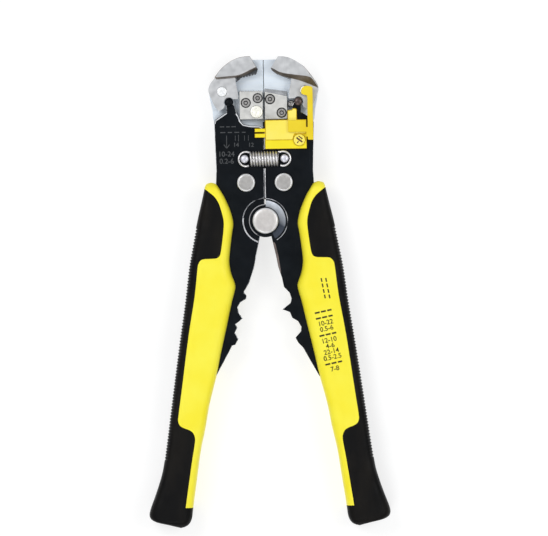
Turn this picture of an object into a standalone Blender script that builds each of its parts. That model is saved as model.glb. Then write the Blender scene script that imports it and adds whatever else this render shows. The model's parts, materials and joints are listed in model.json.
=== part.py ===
"""Self-adjusting wire stripper, crimper and cutter, lying flat on its back with its handles open.

Drawn in millimetres in the tool's own frame: x across, y towards the head, z towards the viewer, with
the main pivot at (0, 0) and z = 0 halfway through the tool. Each moving body hangs from an empty on its
joint's axis, and the empties stand in the shared frame, where z = 0 is the table and (0, 0) is the middle
of the tool's box.
"""

import math

import bmesh
import bpy
from mathutils import Vector

MM = 0.001
WELD = 0.00001
SMOOTH_ANGLE = math.radians(35)
GAP = 0.05

# Overall box
HEAD_TOP = 71.8
GRIP_END = -133.4
GRIP_HALF_WIDTH = 52.6
HALF_THICK = 9.5
TOOL_ORIGIN = Vector((0.0, -(HEAD_TOP + GRIP_END) / 2, HALF_THICK))

# Joint axes, as (x, y) in the tool frame; the right-hand ones are mirrored
MAIN_PIVOT = (0.0, 0.0)
LINK = (8.2, 16.7)
JAW_PIN = (18.1, 56.5)
ARM_TIP = (15.1, 51.8)

# Layers, from the middle of the tool outwards
FRAME_Z = (-2.5, 0.0)
LOWER_JAW_Z = (0.1, 5.0)
PLATE_Z = (3.0, 5.4)
HOLDER_Z = (1.0, 5.0)
INSERT_Z = (1.0, 5.3)
TEETH_Z = (0.3, 5.3)
BLADE_Z = (0.2, 0.9)
BLOCK_Z = (5.45, 7.7)
STOP_Z = (5.7, 7.8)
STOP_ARM_Z = (7.9, 9.4)
LAP_GAP_Z = (4.15, 4.25)
JAW_PIN_TOP_Z = 5.6
LINK_TOP_Z = 6.9
RIVET_TOP_Z = 7.1
FRAME_SCREW_TOP_Z = 2.7

# Edges
BLOCK_CHAMFER = 0.5
STOP_CHAMFER = 0.25

# Half the gap on the split line between the two sides
SPLIT_X = 0.3

# Main pivot
RIVET_HEAD_R = 5.6
PIVOT_SHAFT_R = 3.0
PIVOT_HOLE_R = 3.15
SPACER_R = 5.2
LUG_R = 7.2
RECESS_R = 9.9
CONE_TOP_R = 8.8
CONE_LOW_R = 6.0
CONE_LOW_Z = 4.95

# Link rivets, jaw pins, ties
LINK_HEAD_R = 3.9
LINK_SHAFT_R = 2.2
LINK_HOLE_R = 2.35
LINK_WASHER_R = 4.4
PIN_WASHER_R = 3.6
JAW_PIN_R = 2.15
JAW_PIN_HOLE_R = 2.28
TIE = (17.5, 65.0)
TIE_R = 1.5
TIP_R = 1.65
NOTCH_R = 2.2

# Return spring between the two posts
POST = (8.7, 27.0)
POST_R = 1.65
SPRING_LOOP_X = 8.1
SPRING_LOOP_R = 3.1
SPRING_LOOP_HALF_DEG = 110.0
SPRING_Y = 27.0
SPRING_Z = 6.1
SPRING_MEAN_R = 2.9
SPRING_WIRE_R = 0.5
SPRING_TURNS = 10
SPRING_STEPS = 9
SPRING_HALF_LENGTH = 6.2
WINDOW_X = 6.9
WINDOW_Y = (23.0, 31.0)

# Lower jaws and their screws
SCREW_HEAD_R = 2.0
SCREW_BORE_R = 2.15
SCREW_SHAFT_R = 1.1
SCREW_HOLE_R = 1.25
SCREW_SEAT_Z = 2.6
SOCKET_R = 0.85
LEFT_SCREWS = {"left_jaw_screw_outer": (-7.8, 51.5), "left_jaw_screw_inner": (-2.6, 53.5)}
RIGHT_SCREWS = {"right_jaw_screw_upper": (2.8, 53.0), "right_jaw_screw_lower": (7.8, 47.0)}
CENTRE_RIVET = (-3.2, 47.5)
CENTRE_RIVET_R = 2.75
FRAME_SCREW = (11.95, 50.95)
FRAME_SCREW_R = 1.5

# Length stop
STOP_SCREW = (15.3, 35.0)
STOP_SCREW_R = 2.7
RAIL_X = (0.8, 18.2)
RAIL_Y = (37.5, 39.1)
RAIL_TOP_Z = 6.6
GROOVE_GAP = 0.25

# Gap left where two pieces of one grip meet
SEAM = 0.06
# Gap between the steel tangs and the grip around them
TANG_GAP = 0.12

# Head edge of the black side plate, from the split line over the arm to the outer shoulder
PLATE_HEAD = [(0.3, 40.0), (1.0, 40.6), (2.0, 41.2), (6.0, 41.4), (9.0, 42.0), (10.3, 43.5), (11.0, 45.5),
              (11.9, 47.0), (12.7, 50.0)]
PLATE_SHOULDER = [(16.3, 49.5), (16.2, 47.2), (21.3, 44.0), (21.7, 42.5), (21.6, 36.0), (21.1, 22.0),
                  (21.4, 16.0)]
# The tang hidden in the grip, down its outer edge and back up its inner edge
TANG_OUTER = [(22.0, 5.0), (24.0, -10.0), (27.2, -30.0), (30.0, -50.0), (33.0, -72.0), (36.0, -92.0),
              (38.6, -108.0), (39.4, -114.0), (37.5, -116.5)]
TANG_INNER = [(35.6, -114.0), (33.4, -102.0), (30.6, -88.0), (27.4, -74.0), (25.9, -69.0)]
# Crimping edges from the grip up towards the pivot; the two sides differ
CRIMP_LEFT = [(22.8, -68.0), (18.5, -60.0), (15.3, -54.3), (14.0, -54.0), (12.6, -51.5), (14.1, -48.8),
              (13.0, -46.5), (13.8, -45.0), (10.6, -42.5), (12.3, -40.0), (12.7, -37.5), (11.5, -35.5),
              (9.0, -34.0), (8.8, -32.5), (9.9, -31.0), (7.5, -27.0)]
CRIMP_RIGHT = [(22.4, -68.0), (15.5, -55.5), (14.5, -54.5), (13.5, -53.5), (12.3, -51.2), (14.7, -48.5),
               (14.9, -46.5), (13.5, -44.0), (11.0, -42.5), (10.0, -40.0), (6.8, -38.8), (10.4, -36.0),
               (10.8, -34.0), (10.0, -31.5), (7.6, -29.0), (6.8, -25.0)]
PLATE_THROAT = [(5.2, -20.0), (4.3, -15.0), (3.0, -9.3)]

# Grip: outer edge, end and inner edge, drawn for the right hand
GRIP_EDGE = [(21.3, 16.3), (23.6, 16.9), (25.8, 15.9), (26.6, 13.6), (28.0, 7.5), (30.8, -5.0), (33.7, -20.0),
             (38.0, -50.0), (42.3, -80.0), (45.1, -100.0), (46.9, -110.0), (50.1, -120.0), (52.4, -125.8),
             (52.2, -129.2), (49.2, -131.3), (43.8, -132.4), (38.7, -133.3), (36.3, -132.0), (35.0, -129.0),
             (33.4, -123.5), (31.6, -112.0), (28.7, -95.0), (25.7, -80.0), (21.8, -65.0), (17.5, -46.0),
             (15.0, -35.0), (13.4, -28.5), (15.2, -23.0), (16.0, -17.5), (14.7, -7.0), (14.0, -1.0),
             (15.3, 5.0), (18.2, 11.6)]
GRIP_ROUND_R = 2.2
# Below these heights the outline is stretched to the exact width and length
GRIP_FLARE_Y = -118.0
GRIP_CAP_Y = -130.0
# Where the yellow core meets the black rubber, from the top lobe down to the end cap
SEAM_LINE = [(31.0, 16.8), (26.3, 14.3), (24.0, 12.5), (21.8, 10.7), (20.2, 8.0), (18.8, 4.0), (18.0, 0.0),
             (18.3, -4.0), (19.0, -10.0), (19.9, -14.6), (21.6, -16.2), (27.5, -16.4), (29.0, -17.6),
             (29.8, -20.5), (31.3, -33.0), (34.2, -50.0), (37.6, -74.0), (39.2, -85.0), (38.8, -88.2),
             (37.0, -89.6), (34.5, -90.6), (32.6, -92.2), (31.9, -94.7), (33.6, -105.0), (36.6, -124.6),
             (28.0, -124.6)]

# Jaw frames in the middle layer
FRAME_EDGE = [(0.6, 22.0), (0.6, 70.4), (11.2, 70.4), (11.2, 59.8), (14.6, 60.6), (18.1, 61.4), (21.6, 60.2),
              (23.8, 57.2), (23.4, 53.0), (22.4, 48.5), (22.1, 44.4), (19.6, 40.0), (18.6, 24.0)]
FRAME_FOOT_R = 5.6

# Cheeks that hang the upper jaws on their pins; the arm tip rides in the round notch
CHEEK_TOP = [(12.2, 69.6), (14.0, 68.8), (17.0, 67.3), (19.7, 64.3), (21.7, 62.0), (23.0, 60.3), (24.0, 58.0),
             (23.6, 56.2), (22.4, 53.2), (21.0, 50.0), (19.2, 47.9), (17.3, 49.4)]
CHEEK_NOTCH_DEG = (-35.0, 162.0)
CHEEK_INNER = [(10.95, 53.2), (11.0, 54.5), (11.35, 57.0), (12.0, 60.3)]

# Upper jaw blocks
LEFT_BLOCK = [(5.7, 71.8), (10.5, 71.3), (14.0, 69.7), (17.3, 68.0), (20.0, 65.0), (20.9, 63.2), (20.4, 62.8),
              (16.0, 63.0), (12.0, 63.3), (9.5, 63.8), (2.9, 66.9)]
RIGHT_BLOCK_FACE = [(6.5, 71.4), (9.0, 71.4), (12.0, 70.6), (16.0, 68.3), (18.0, 66.5), (20.5, 63.3),
                    (22.0, 61.0), (23.3, 58.6), (22.8, 58.7), (20.0, 62.9), (14.0, 63.5), (10.0, 64.0),
                    (7.0, 64.8), (4.5, 66.3), (3.6, 66.5)]
RIGHT_BLOCK_BASE = [(6.5, 71.4), (9.0, 71.4), (12.0, 70.6), (16.0, 68.3), (18.2, 66.6), (20.8, 63.4),
                    (22.4, 61.0), (24.0, 57.6), (23.2, 57.9), (20.0, 59.1), (15.0, 61.2), (10.0, 62.3),
                    (6.0, 63.9), (4.0, 65.1), (3.3, 66.2)]
TOOTH_START, TOOTH_END, TOOTH_COUNT = (9.0, 63.0), (2.8, 64.4), 5
UPPER_TEETH = [(2.3, 66.2), (5.6, 71.2), (11.7, 70.2), (11.7, 60.7), (10.5, 61.6)]
UPPER_HOLDER = [(3.6, 66.2), (6.2, 70.9), (11.7, 70.0), (11.7, 62.2), (10.0, 62.6), (6.0, 64.2)]
UPPER_BLADE = [(3.9, 65.6), (5.6, 68.6), (11.6, 68.0), (11.6, 61.5), (10.0, 62.2), (6.0, 63.8)]

# Lower jaws, under the upper ones
LEFT_LOWER = [(10.5, 56.3), (10.5, 44.3), (0.4, 44.3), (0.4, 56.3)]
LEFT_LOWER_TEETH = 9
TOOTH_DEPTH = 0.6
RIGHT_LOWER = [(0.4, 44.3), (10.3, 44.3), (10.3, 54.1), (0.4, 56.3)]
LOWER_BLADE = [(0.5, 49.5), (10.2, 49.5), (10.2, 56.4), (0.5, 57.8)]

# Length stop outlines
STOP_BODY = [(0.4, 31.2), (18.5, 31.2), (18.5, 43.9), (14.4, 43.9), (14.4, 48.4), (13.8, 48.8), (12.5, 48.8),
             (12.2, 48.2), (10.3, 48.0), (10.3, 43.9), (0.4, 43.9), (0.4, 40.2), (-4.1, 40.2), (-4.1, 38.6),
             (0.2, 38.6), (0.2, 38.0), (-4.1, 38.0), (-4.1, 36.2), (0.4, 36.2)]
STOP_ARM = [(10.5, 38.4), (18.3, 38.4), (18.3, 36.3), (19.0, 36.3), (19.0, 35.0), (21.4, 35.0), (21.4, 57.4),
            (20.4, 58.4), (17.6, 58.4), (16.4, 57.2), (16.4, 54.6), (19.0, 54.0), (19.0, 40.5), (18.3, 40.5),
            (18.3, 43.6), (10.5, 43.6)]

COLOURS = {
    "black_steel": ((0.012, 0.014, 0.02, 1), 0.6, 0.38),
    "steel": ((0.55, 0.56, 0.57, 1), 1.0, 0.35),
    "bright_steel": ((0.75, 0.76, 0.77, 1), 1.0, 0.2),
    "frame_steel": ((0.62, 0.7, 0.78, 1), 1.0, 0.3),
    "blade_steel": ((0.3, 0.31, 0.33, 1), 1.0, 0.3),
    "yellow_plastic": ((0.95, 0.8, 0.03, 1), 0.0, 0.4),
    "black_rubber": ((0.012, 0.012, 0.013, 1), 0.0, 0.75),
}


# ---------------------------------------------------------------- outlines


def mirrored(points):
    return [(-x, y) for x, y in points]


def arc(centre, radius, start_deg, end_deg, steps):
    """Points from one angle to the other, both included."""
    angles = [math.radians(start_deg + (end_deg - start_deg) * i / steps) for i in range(steps + 1)]
    return [(centre[0] + radius * math.cos(a), centre[1] + radius * math.sin(a)) for a in angles]


def circle(centre, radius, sides):
    return arc(centre, radius, 0.0, 360.0, sides)[:-1]


def rounded(points, steps):
    """A closed Catmull-Rom curve through the points."""
    count = len(points)
    curve = []
    for i in range(count):
        p0, p1, p2, p3 = (Vector(points[(i + k) % count]) for k in (-1, 0, 1, 2))
        for step in range(steps):
            t = step / steps
            curve.append(tuple(0.5 * (2 * p1 + (p2 - p0) * t + (2 * p0 - 5 * p1 + 4 * p2 - p3) * t * t
                                      + (3 * p1 - p0 - 3 * p2 + p3) * t ** 3)))
    return curve


def inset(points, distance):
    """The loop moved inwards by a distance, or outwards by a negative one, with mitred corners."""
    area = sum(a[0] * b[1] - b[0] * a[1] for a, b in zip(points, points[1:] + points[:1]))
    points = list(points) if area > 0 else list(reversed(points))
    moved = []
    for i, point in enumerate(points):
        before = (Vector(point) - Vector(points[i - 1])).normalized()
        after = (Vector(points[(i + 1) % len(points)]) - Vector(point)).normalized()
        normal_in, normal_out = Vector((-before.y, before.x)), Vector((-after.y, after.x))
        mitre = (normal_in + normal_out) / max(1.0 + normal_in.dot(normal_out), 0.5)
        moved.append(tuple(Vector(point) + mitre * distance))
    return moved


def toothed(start, end, count, depth, side):
    """Saw teeth between two points; side is +1 for teeth pointing to the left of the way there."""
    start, end = Vector(start), Vector(end)
    across = Vector((start.y - end.y, end.x - start.x)).normalized() * depth * side
    points = []
    for i in range(count):
        points += [tuple(start.lerp(end, i / count)), tuple(start.lerp(end, (i + 0.5) / count) + across)]
    return points + [tuple(end)]


# ---------------------------------------------------------------- solids

BODY_AXES = {
    "left_handle": MAIN_PIVOT,
    "right_handle": MAIN_PIVOT,
    "left_jaw_frame": (-LINK[0], LINK[1]),
    "right_jaw_frame": LINK,
    "left_upper_jaw": (-JAW_PIN[0], JAW_PIN[1]),
    "right_upper_jaw": JAW_PIN,
    "length_stop": MAIN_PIVOT,
}


class Workshop:
    """Clears the scene, then holds its collections and the empty that each moving body hangs from."""

    def __init__(self):
        for item in list(bpy.data.objects):
            bpy.data.objects.remove(item)
        self.parts = bpy.data.collections.new("wire_stripper")
        self.cutters = bpy.data.collections.new("cutters")
        for collection in (self.parts, self.cutters):
            bpy.context.scene.collection.children.link(collection)
        self.bodies = {}
        for name, axis in BODY_AXES.items():
            empty = bpy.data.objects.new(name, None)
            empty.location = (TOOL_ORIGIN + Vector((*axis, 0.0))) * MM
            self.parts.objects.link(empty)
            self.bodies[name] = empty

    def material(self, name, kind):
        colour, metallic, roughness = COLOURS[kind]
        material = bpy.data.materials.new(name)
        material.use_nodes = True
        shader = material.node_tree.nodes["Principled BSDF"]
        shader.inputs["Base Color"].default_value = colour
        shader.inputs["Metallic"].default_value = metallic
        shader.inputs["Roughness"].default_value = roughness
        return material

    def place(self, name, body, kind, data, centre=MAIN_PIVOT, z=0.0):
        """Hangs curve or mesh data from its body's empty; with no kind it is a cutter."""
        part = bpy.data.objects.new(name, data)
        part.parent = self.bodies[body]
        axis = BODY_AXES[body]
        part.location = Vector((centre[0] - axis[0], centre[1] - axis[1], z)) * MM
        if kind:
            data.materials.append(self.material(name, kind))
            self.parts.objects.link(part)
        else:
            part.hide_render = True
            part.display_type = "WIRE"
            self.cutters.objects.link(part)
        return part

    def slab(self, name, body, kind, loops, z_range, edge=0.0, rounding=0):
        """A flat piece from filled outlines: the first is the outside, the others are holes."""
        curve = bpy.data.curves.new(name, "CURVE")
        curve.dimensions = "2D"
        curve.fill_mode = "BOTH"
        curve.extrude = (abs(z_range[1] - z_range[0]) / 2 - edge) * MM
        curve.bevel_depth = edge * MM
        curve.bevel_resolution = rounding
        curve.offset = -edge * MM
        for loop in loops:
            spline = curve.splines.new("POLY")
            spline.points.add(len(loop) - 1)
            for point, (x, y) in zip(spline.points, loop):
                point.co = (x * MM, y * MM, 0.0, 1.0)
            spline.use_cyclic_u = True
        return self.place(name, body, kind, curve, z=sum(z_range) / 2)

    def as_mesh(self, drawn_part):
        """The same piece as a welded mesh, which can take Booleans."""
        bpy.context.view_layer.update()
        graph = bpy.context.evaluated_depsgraph_get()
        mesh = bpy.data.meshes.new_from_object(drawn_part.evaluated_get(graph))
        bm = bmesh.new()
        bm.from_mesh(mesh)
        bmesh.ops.remove_doubles(bm, verts=bm.verts, dist=WELD)
        bmesh.ops.recalc_face_normals(bm, faces=bm.faces)
        bm.to_mesh(mesh)
        bm.free()
        part = bpy.data.objects.new("mesh", mesh)
        part.parent = drawn_part.parent
        part.location = drawn_part.location
        part.hide_render = drawn_part.hide_render
        part.display_type = drawn_part.display_type
        for collection in drawn_part.users_collection:
            collection.objects.link(part)
        name = drawn_part.name
        bpy.data.objects.remove(drawn_part)
        part.name = name
        return part

    def turned(self, name, body, kind, centre, profile, sides):
        """A solid of revolution from (radius, z) points that run down its outer side."""
        points = [(0.0, profile[0][1]), *profile, (0.0, profile[-1][1])]
        mesh = bpy.data.meshes.new(name)
        mesh.from_pydata([(r * MM, 0.0, z * MM) for r, z in points],
                         [(i, i + 1) for i in range(len(points) - 1)], [])
        part = self.place(name, body, kind, mesh, centre)
        screw = part.modifiers.new("turn", "SCREW")
        screw.steps = screw.render_steps = sides
        screw.use_merge_vertices = True
        screw.merge_threshold = WELD
        solid = self.as_mesh(part)
        shade_round(solid.data)
        return solid

    def cylinder(self, name, body, kind, centre, radius, z_range, sides):
        mesh = bpy.data.meshes.new(name)
        bm = bmesh.new()
        bmesh.ops.create_cone(bm, cap_ends=True, segments=sides, radius1=radius * MM, radius2=radius * MM,
                              depth=abs(z_range[1] - z_range[0]) * MM)
        bm.to_mesh(mesh)
        bm.free()
        shade_round(mesh)
        return self.place(name, body, kind, mesh, centre, sum(z_range) / 2)

    def loft(self, name, body, kind, low_outline, low_z, high_outline, high_z):
        """A solid between two unlike outlines with the same number of points."""
        bm = bmesh.new()
        low = [bm.verts.new((x * MM, y * MM, low_z * MM)) for x, y in low_outline]
        high = [bm.verts.new((x * MM, y * MM, high_z * MM)) for x, y in high_outline]
        for i in range(len(low)):
            j = (i + 1) % len(low)
            bm.faces.new((low[i], low[j], high[j], high[i]))
        bm.faces.new(low)
        bm.faces.new(high)
        bmesh.ops.recalc_face_normals(bm, faces=bm.faces)
        mesh = bpy.data.meshes.new(name)
        bm.to_mesh(mesh)
        bm.free()
        return self.place(name, body, kind, mesh)

    def washer(self, name, body, kind, centre, outer, inner, z_range, sides):
        return self.slab(name, body, kind, [circle(centre, outer, sides), circle(centre, inner, sides)], z_range)

    def wire(self, name, body, kind, points, radius):
        curve = bpy.data.curves.new(name, "CURVE")
        curve.dimensions = "3D"
        curve.bevel_depth = radius * MM
        curve.bevel_resolution = 1
        curve.use_fill_caps = True
        spline = curve.splines.new("POLY")
        spline.points.add(len(points) - 1)
        for point, co in zip(spline.points, points):
            point.co = (*(value * MM for value in co), 1.0)
        return self.place(name, body, kind, curve)


def shade_round(mesh):
    """Smooth round the piece, with the rims of its flat ends kept sharp."""
    mesh.shade_smooth()
    mesh.set_sharp_from_angle(angle=SMOOTH_ANGLE)


def cut(part, cutter, operation="DIFFERENCE"):
    boolean = part.modifiers.new(cutter.name, "BOOLEAN")
    boolean.operation = operation
    boolean.solver = "EXACT"
    boolean.object = cutter


def layer(z_range, sign):
    """A layer on the front of the tool, or with sign -1 the same one on its back."""
    return z_range if sign > 0 else (-z_range[1], -z_range[0])


def both_heads(profile):
    """A rivet's outline from its front half."""
    return profile + [(r, -z) for r, z in reversed(profile)]


def sided(side, points):
    """Outlines are drawn for the right; the left takes them mirrored."""
    return mirrored(points) if side == "left" else list(points)


# ---------------------------------------------------------------- handles


def plate_outline(crimp):
    """One side plate, drawn for the right hand: head, arm, tang, crimping edge, throat and pivot lug."""
    tip = arc(ARM_TIP, TIP_R, 180.0, 0.0, 8)
    lug_top = math.degrees(math.acos(SPLIT_X / LUG_R))
    lug = arc(MAIN_PIVOT, LUG_R, -70.0, -360.0 + lug_top, 20)
    return PLATE_HEAD + tip + PLATE_SHOULDER + TANG_OUTER + TANG_INNER + crimp + PLATE_THROAT + lug


def side_plates(shop, side, crimp):
    """The front and rear black plates of one handle. At the pivot each keeps half its thickness."""
    body = side + "_handle"
    link = sided(side, [LINK])[0]
    window = [(SPLIT_X, WINDOW_Y[0]), (WINDOW_X, WINDOW_Y[0]), (WINDOW_X, WINDOW_Y[1]), (SPLIT_X, WINDOW_Y[1])]
    for end, sign in (("front", 1), ("rear", -1)):
        outline = sided(side, plate_outline(crimp) + (window if end == "front" else []))
        loops = [outline, circle(MAIN_PIVOT, PIVOT_HOLE_R, 24), circle(link, LINK_HOLE_R, 16)]
        plate = shop.as_mesh(shop.slab(f"{side}_plate_{end}", body, "black_steel", loops,
                                       layer(PLATE_Z, sign)))
        if side == "left":
            lap = (LAP_GAP_Z[0], PLATE_Z[1] + 1)
        else:
            lap = (PLATE_Z[0] - 1, LAP_GAP_Z[1])
        cut(plate, shop.cylinder(f"cut_{side}_{end}_lap", body, None, MAIN_PIVOT, RECESS_R,
                                 layer(lap, sign), 36))
        if side == "right":
            profile = [(CONE_TOP_R, PLATE_Z[1] + 1), (CONE_TOP_R, PLATE_Z[1]), (CONE_LOW_R, CONE_LOW_Z)]
            if sign < 0:
                profile = [(r, -z) for r, z in reversed(profile)]
            cut(plate, shop.turned(f"cut_{side}_{end}_cone", body, None, MAIN_PIVOT, profile, 36))


def grip_edge():
    """The grip's outline, stretched at its end to the tool's exact width and length."""
    edge = rounded(GRIP_EDGE, 3)
    widest, lowest = max(x for x, _ in edge), min(y for _, y in edge)
    edge = [(x * GRIP_HALF_WIDTH / widest if y < GRIP_FLARE_Y else x, y) for x, y in edge]
    return [(x, y * GRIP_END / lowest if y < GRIP_CAP_Y else y) for x, y in edge]


def grip(shop, side):
    """The yellow core and the black rubber of one handle, both pocketed for the steel tangs."""
    body = side + "_handle"
    edge = sided(side, grip_edge())
    beyond = HALF_THICK + 1
    regions = {
        "core": ("yellow_plastic", SEAM_LINE + [(5.0, -124.6), (5.0, 30.0), (31.0, 30.0)]),
        "rubber": ("black_rubber", SEAM_LINE + [(28.0, -140.0), (70.0, -140.0), (70.0, 16.8)]),
    }
    tang = PLATE_SHOULDER[-2:] + TANG_OUTER + TANG_INNER + [(22.0, -68.0), (5.0, -68.0), (5.0, 22.0)]
    for name, (kind, region) in regions.items():
        piece = shop.as_mesh(shop.slab(f"{side}_grip_{name}", body, kind, [edge], (-HALF_THICK, HALF_THICK),
                                       GRIP_ROUND_R, 1))
        keep = shop.slab(f"cut_{side}_{name}_region", body, None, [inset(sided(side, region), SEAM)],
                         (-beyond, beyond))
        pocket = shop.slab(f"cut_{side}_{name}_tang", body, None, [inset(sided(side, tang), -TANG_GAP)],
                           (-PLATE_Z[1] - TANG_GAP, PLATE_Z[1] + TANG_GAP))
        cut(piece, shop.as_mesh(keep), "INTERSECT")
        cut(piece, shop.as_mesh(pocket))


def rivets(shop):
    """The main pivot, the two link rivets and the spacers that keep the plates apart."""
    top, base = RIVET_TOP_Z, CONE_LOW_Z + GAP
    shop.turned("main_pivot_rivet", "left_handle", "bright_steel", MAIN_PIVOT,
                both_heads([(RIVET_HEAD_R - 0.9, top), (RIVET_HEAD_R, top - 0.5), (RIVET_HEAD_R, base),
                            (PIVOT_SHAFT_R, base)]), 24)
    shop.washer("pivot_spacer", "left_handle", "steel", MAIN_PIVOT, SPACER_R, PIVOT_HOLE_R,
                (-PLATE_Z[0] + GAP, PLATE_Z[0] - GAP), 20)
    top, base = LINK_TOP_Z, PLATE_Z[1] + GAP
    profile = both_heads([(LINK_HEAD_R - 0.5, top), (LINK_HEAD_R, top - 0.4), (LINK_HEAD_R, base),
                          (LINK_SHAFT_R, base)])
    for side in ("left", "right"):
        centre = sided(side, [LINK])[0]
        shop.turned(f"{side}_link_rivet", f"{side}_handle", "bright_steel", centre, profile, 20)
        shop.washer(f"{side}_link_washer", f"{side}_handle", "steel", centre, LINK_WASHER_R, LINK_HOLE_R,
                    (FRAME_Z[1] + GAP, PLATE_Z[0] - GAP), 16)


def spring(shop):
    """The pull spring, hooked over a post on each front plate."""
    profile = [(POST_R - 0.1, 8.5), (POST_R + 0.35, 8.2), (POST_R + 0.35, 7.7), (POST_R, 7.4),
               (POST_R, PLATE_Z[1] + GAP)]
    for side in ("left", "right"):
        shop.turned(f"{side}_spring_post", f"{side}_handle", "bright_steel", sided(side, [POST])[0], profile, 16)
    loop = arc((SPRING_LOOP_X, SPRING_Y), SPRING_LOOP_R, SPRING_LOOP_HALF_DEG, -SPRING_LOOP_HALF_DEG, 12)
    right_loop = [(x, y, SPRING_Z) for x, y in loop]
    left_loop = [(-x, y, z) for x, y, z in reversed(right_loop)]
    steps = SPRING_TURNS * SPRING_STEPS
    coil = []
    for i in range(steps + 1):
        angle = 2 * math.pi * i / SPRING_STEPS
        coil.append((SPRING_HALF_LENGTH * (2 * i / steps - 1), SPRING_Y + SPRING_MEAN_R * math.cos(angle),
                     SPRING_Z + SPRING_MEAN_R * math.sin(angle)))
    shop.wire("tension_spring", "left_handle", "steel", left_loop + coil + right_loop, SPRING_WIRE_R)


# ---------------------------------------------------------------- head


def frame(shop, side, screws):
    """One jaw frame: a lever on its link rivet that carries the lower jaw and the upper jaw's pin."""
    outline = sided(side, FRAME_EDGE + arc(LINK, FRAME_FOOT_R, 0.0, -180.0, 10))
    holes = [circle(sided(side, [LINK])[0], LINK_HOLE_R, 16), circle(sided(side, [JAW_PIN])[0], JAW_PIN_HOLE_R, 20)]
    holes += [circle(centre, SCREW_HOLE_R, 12) for centre in screws]
    shop.slab(f"{side}_frame_plate", f"{side}_jaw_frame", "frame_steel", [outline, *holes], FRAME_Z)


def socket_screw(shop, name, body, centre):
    """A cap screw sunk in the lower jaw, threaded through the frame, with a socket in its head."""
    top, seat = LOWER_JAW_Z[1] - 0.1, SCREW_SEAT_Z + GAP
    shop.turned(name, body, "bright_steel", centre,
                [(SOCKET_R, top - 1.2), (SOCKET_R, top), (SCREW_HEAD_R - 0.2, top), (SCREW_HEAD_R, top - 0.2),
                 (SCREW_HEAD_R, seat), (SCREW_SHAFT_R, seat), (SCREW_SHAFT_R, FRAME_Z[0])], 16)


def drilled_jaw(shop, name, body, outline, z_range, screws, others=()):
    """A lower jaw with stepped holes that sink its screws' heads."""
    loops = [outline, *(circle(centre, SCREW_HOLE_R, 12) for centre in screws), *others]
    jaw = shop.as_mesh(shop.slab(name, body, "steel", loops, z_range))
    for number, centre in enumerate(screws):
        cut(jaw, shop.cylinder(f"cut_{name}_{number}", body, None, centre, SCREW_BORE_R,
                               (SCREW_SEAT_Z, LOWER_JAW_Z[1] + 1), 20))


def lower_jaws(shop):
    """The gripping jaw on the left, the blade and its holder on the right, and what fastens them."""
    left, right = "left_jaw_frame", "right_jaw_frame"
    frame(shop, "left", [*LEFT_SCREWS.values(), CENTRE_RIVET])
    frame(shop, "right", [*RIGHT_SCREWS.values(), FRAME_SCREW])
    top_right, bottom_right, bottom_left, top_left = mirrored(LEFT_LOWER)[::-1]
    teeth = toothed(top_right, top_left, LEFT_LOWER_TEETH, TOOTH_DEPTH, -1)
    drilled_jaw(shop, "left_lower_jaw", left, [bottom_left, bottom_right, *teeth], LOWER_JAW_Z,
                LEFT_SCREWS.values(), [circle(CENTRE_RIVET, SCREW_HOLE_R, 12)])
    drilled_jaw(shop, "right_lower_jaw", right, RIGHT_LOWER, HOLDER_Z, RIGHT_SCREWS.values())
    blade_hole = circle(RIGHT_SCREWS["right_jaw_screw_upper"], SCREW_HOLE_R, 12)
    shop.slab("lower_blade", right, "blade_steel", [LOWER_BLADE, blade_hole], BLADE_Z)
    for name, centre in LEFT_SCREWS.items():
        socket_screw(shop, name, left, centre)
    for name, centre in RIGHT_SCREWS.items():
        socket_screw(shop, name, right, centre)
    seat = LOWER_JAW_Z[1] + GAP
    shop.turned("centre_rivet", left, "bright_steel", CENTRE_RIVET,
                [(CENTRE_RIVET_R - 0.3, seat + 0.45), (CENTRE_RIVET_R, seat + 0.25), (CENTRE_RIVET_R, seat),
                 (SCREW_SHAFT_R, seat), (SCREW_SHAFT_R, FRAME_Z[0])], 20)
    top, seat = FRAME_SCREW_TOP_Z, FRAME_Z[1] + GAP
    shop.turned("right_frame_screw", right, "bright_steel", FRAME_SCREW,
                [(0.6, top - 0.8), (0.6, top), (FRAME_SCREW_R - 0.2, top), (FRAME_SCREW_R, top - 0.2),
                 (FRAME_SCREW_R, seat), (SCREW_SHAFT_R, seat), (SCREW_SHAFT_R, FRAME_Z[0])], 16)


def jaw_pins(shop):
    profile = both_heads([(JAW_PIN_R - 0.15, JAW_PIN_TOP_Z), (JAW_PIN_R, JAW_PIN_TOP_Z - 0.15)])
    for side in ("left", "right"):
        centre = sided(side, [JAW_PIN])[0]
        shop.turned(f"{side}_jaw_pin", f"{side}_jaw_frame", "bright_steel", centre, profile, 20)
        shop.washer(f"{side}_pin_washer", f"{side}_jaw_frame", "steel", centre, PIN_WASHER_R, JAW_PIN_HOLE_R,
                    (FRAME_Z[1] + GAP, PLATE_Z[0] - 2 * GAP), 20)


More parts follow.
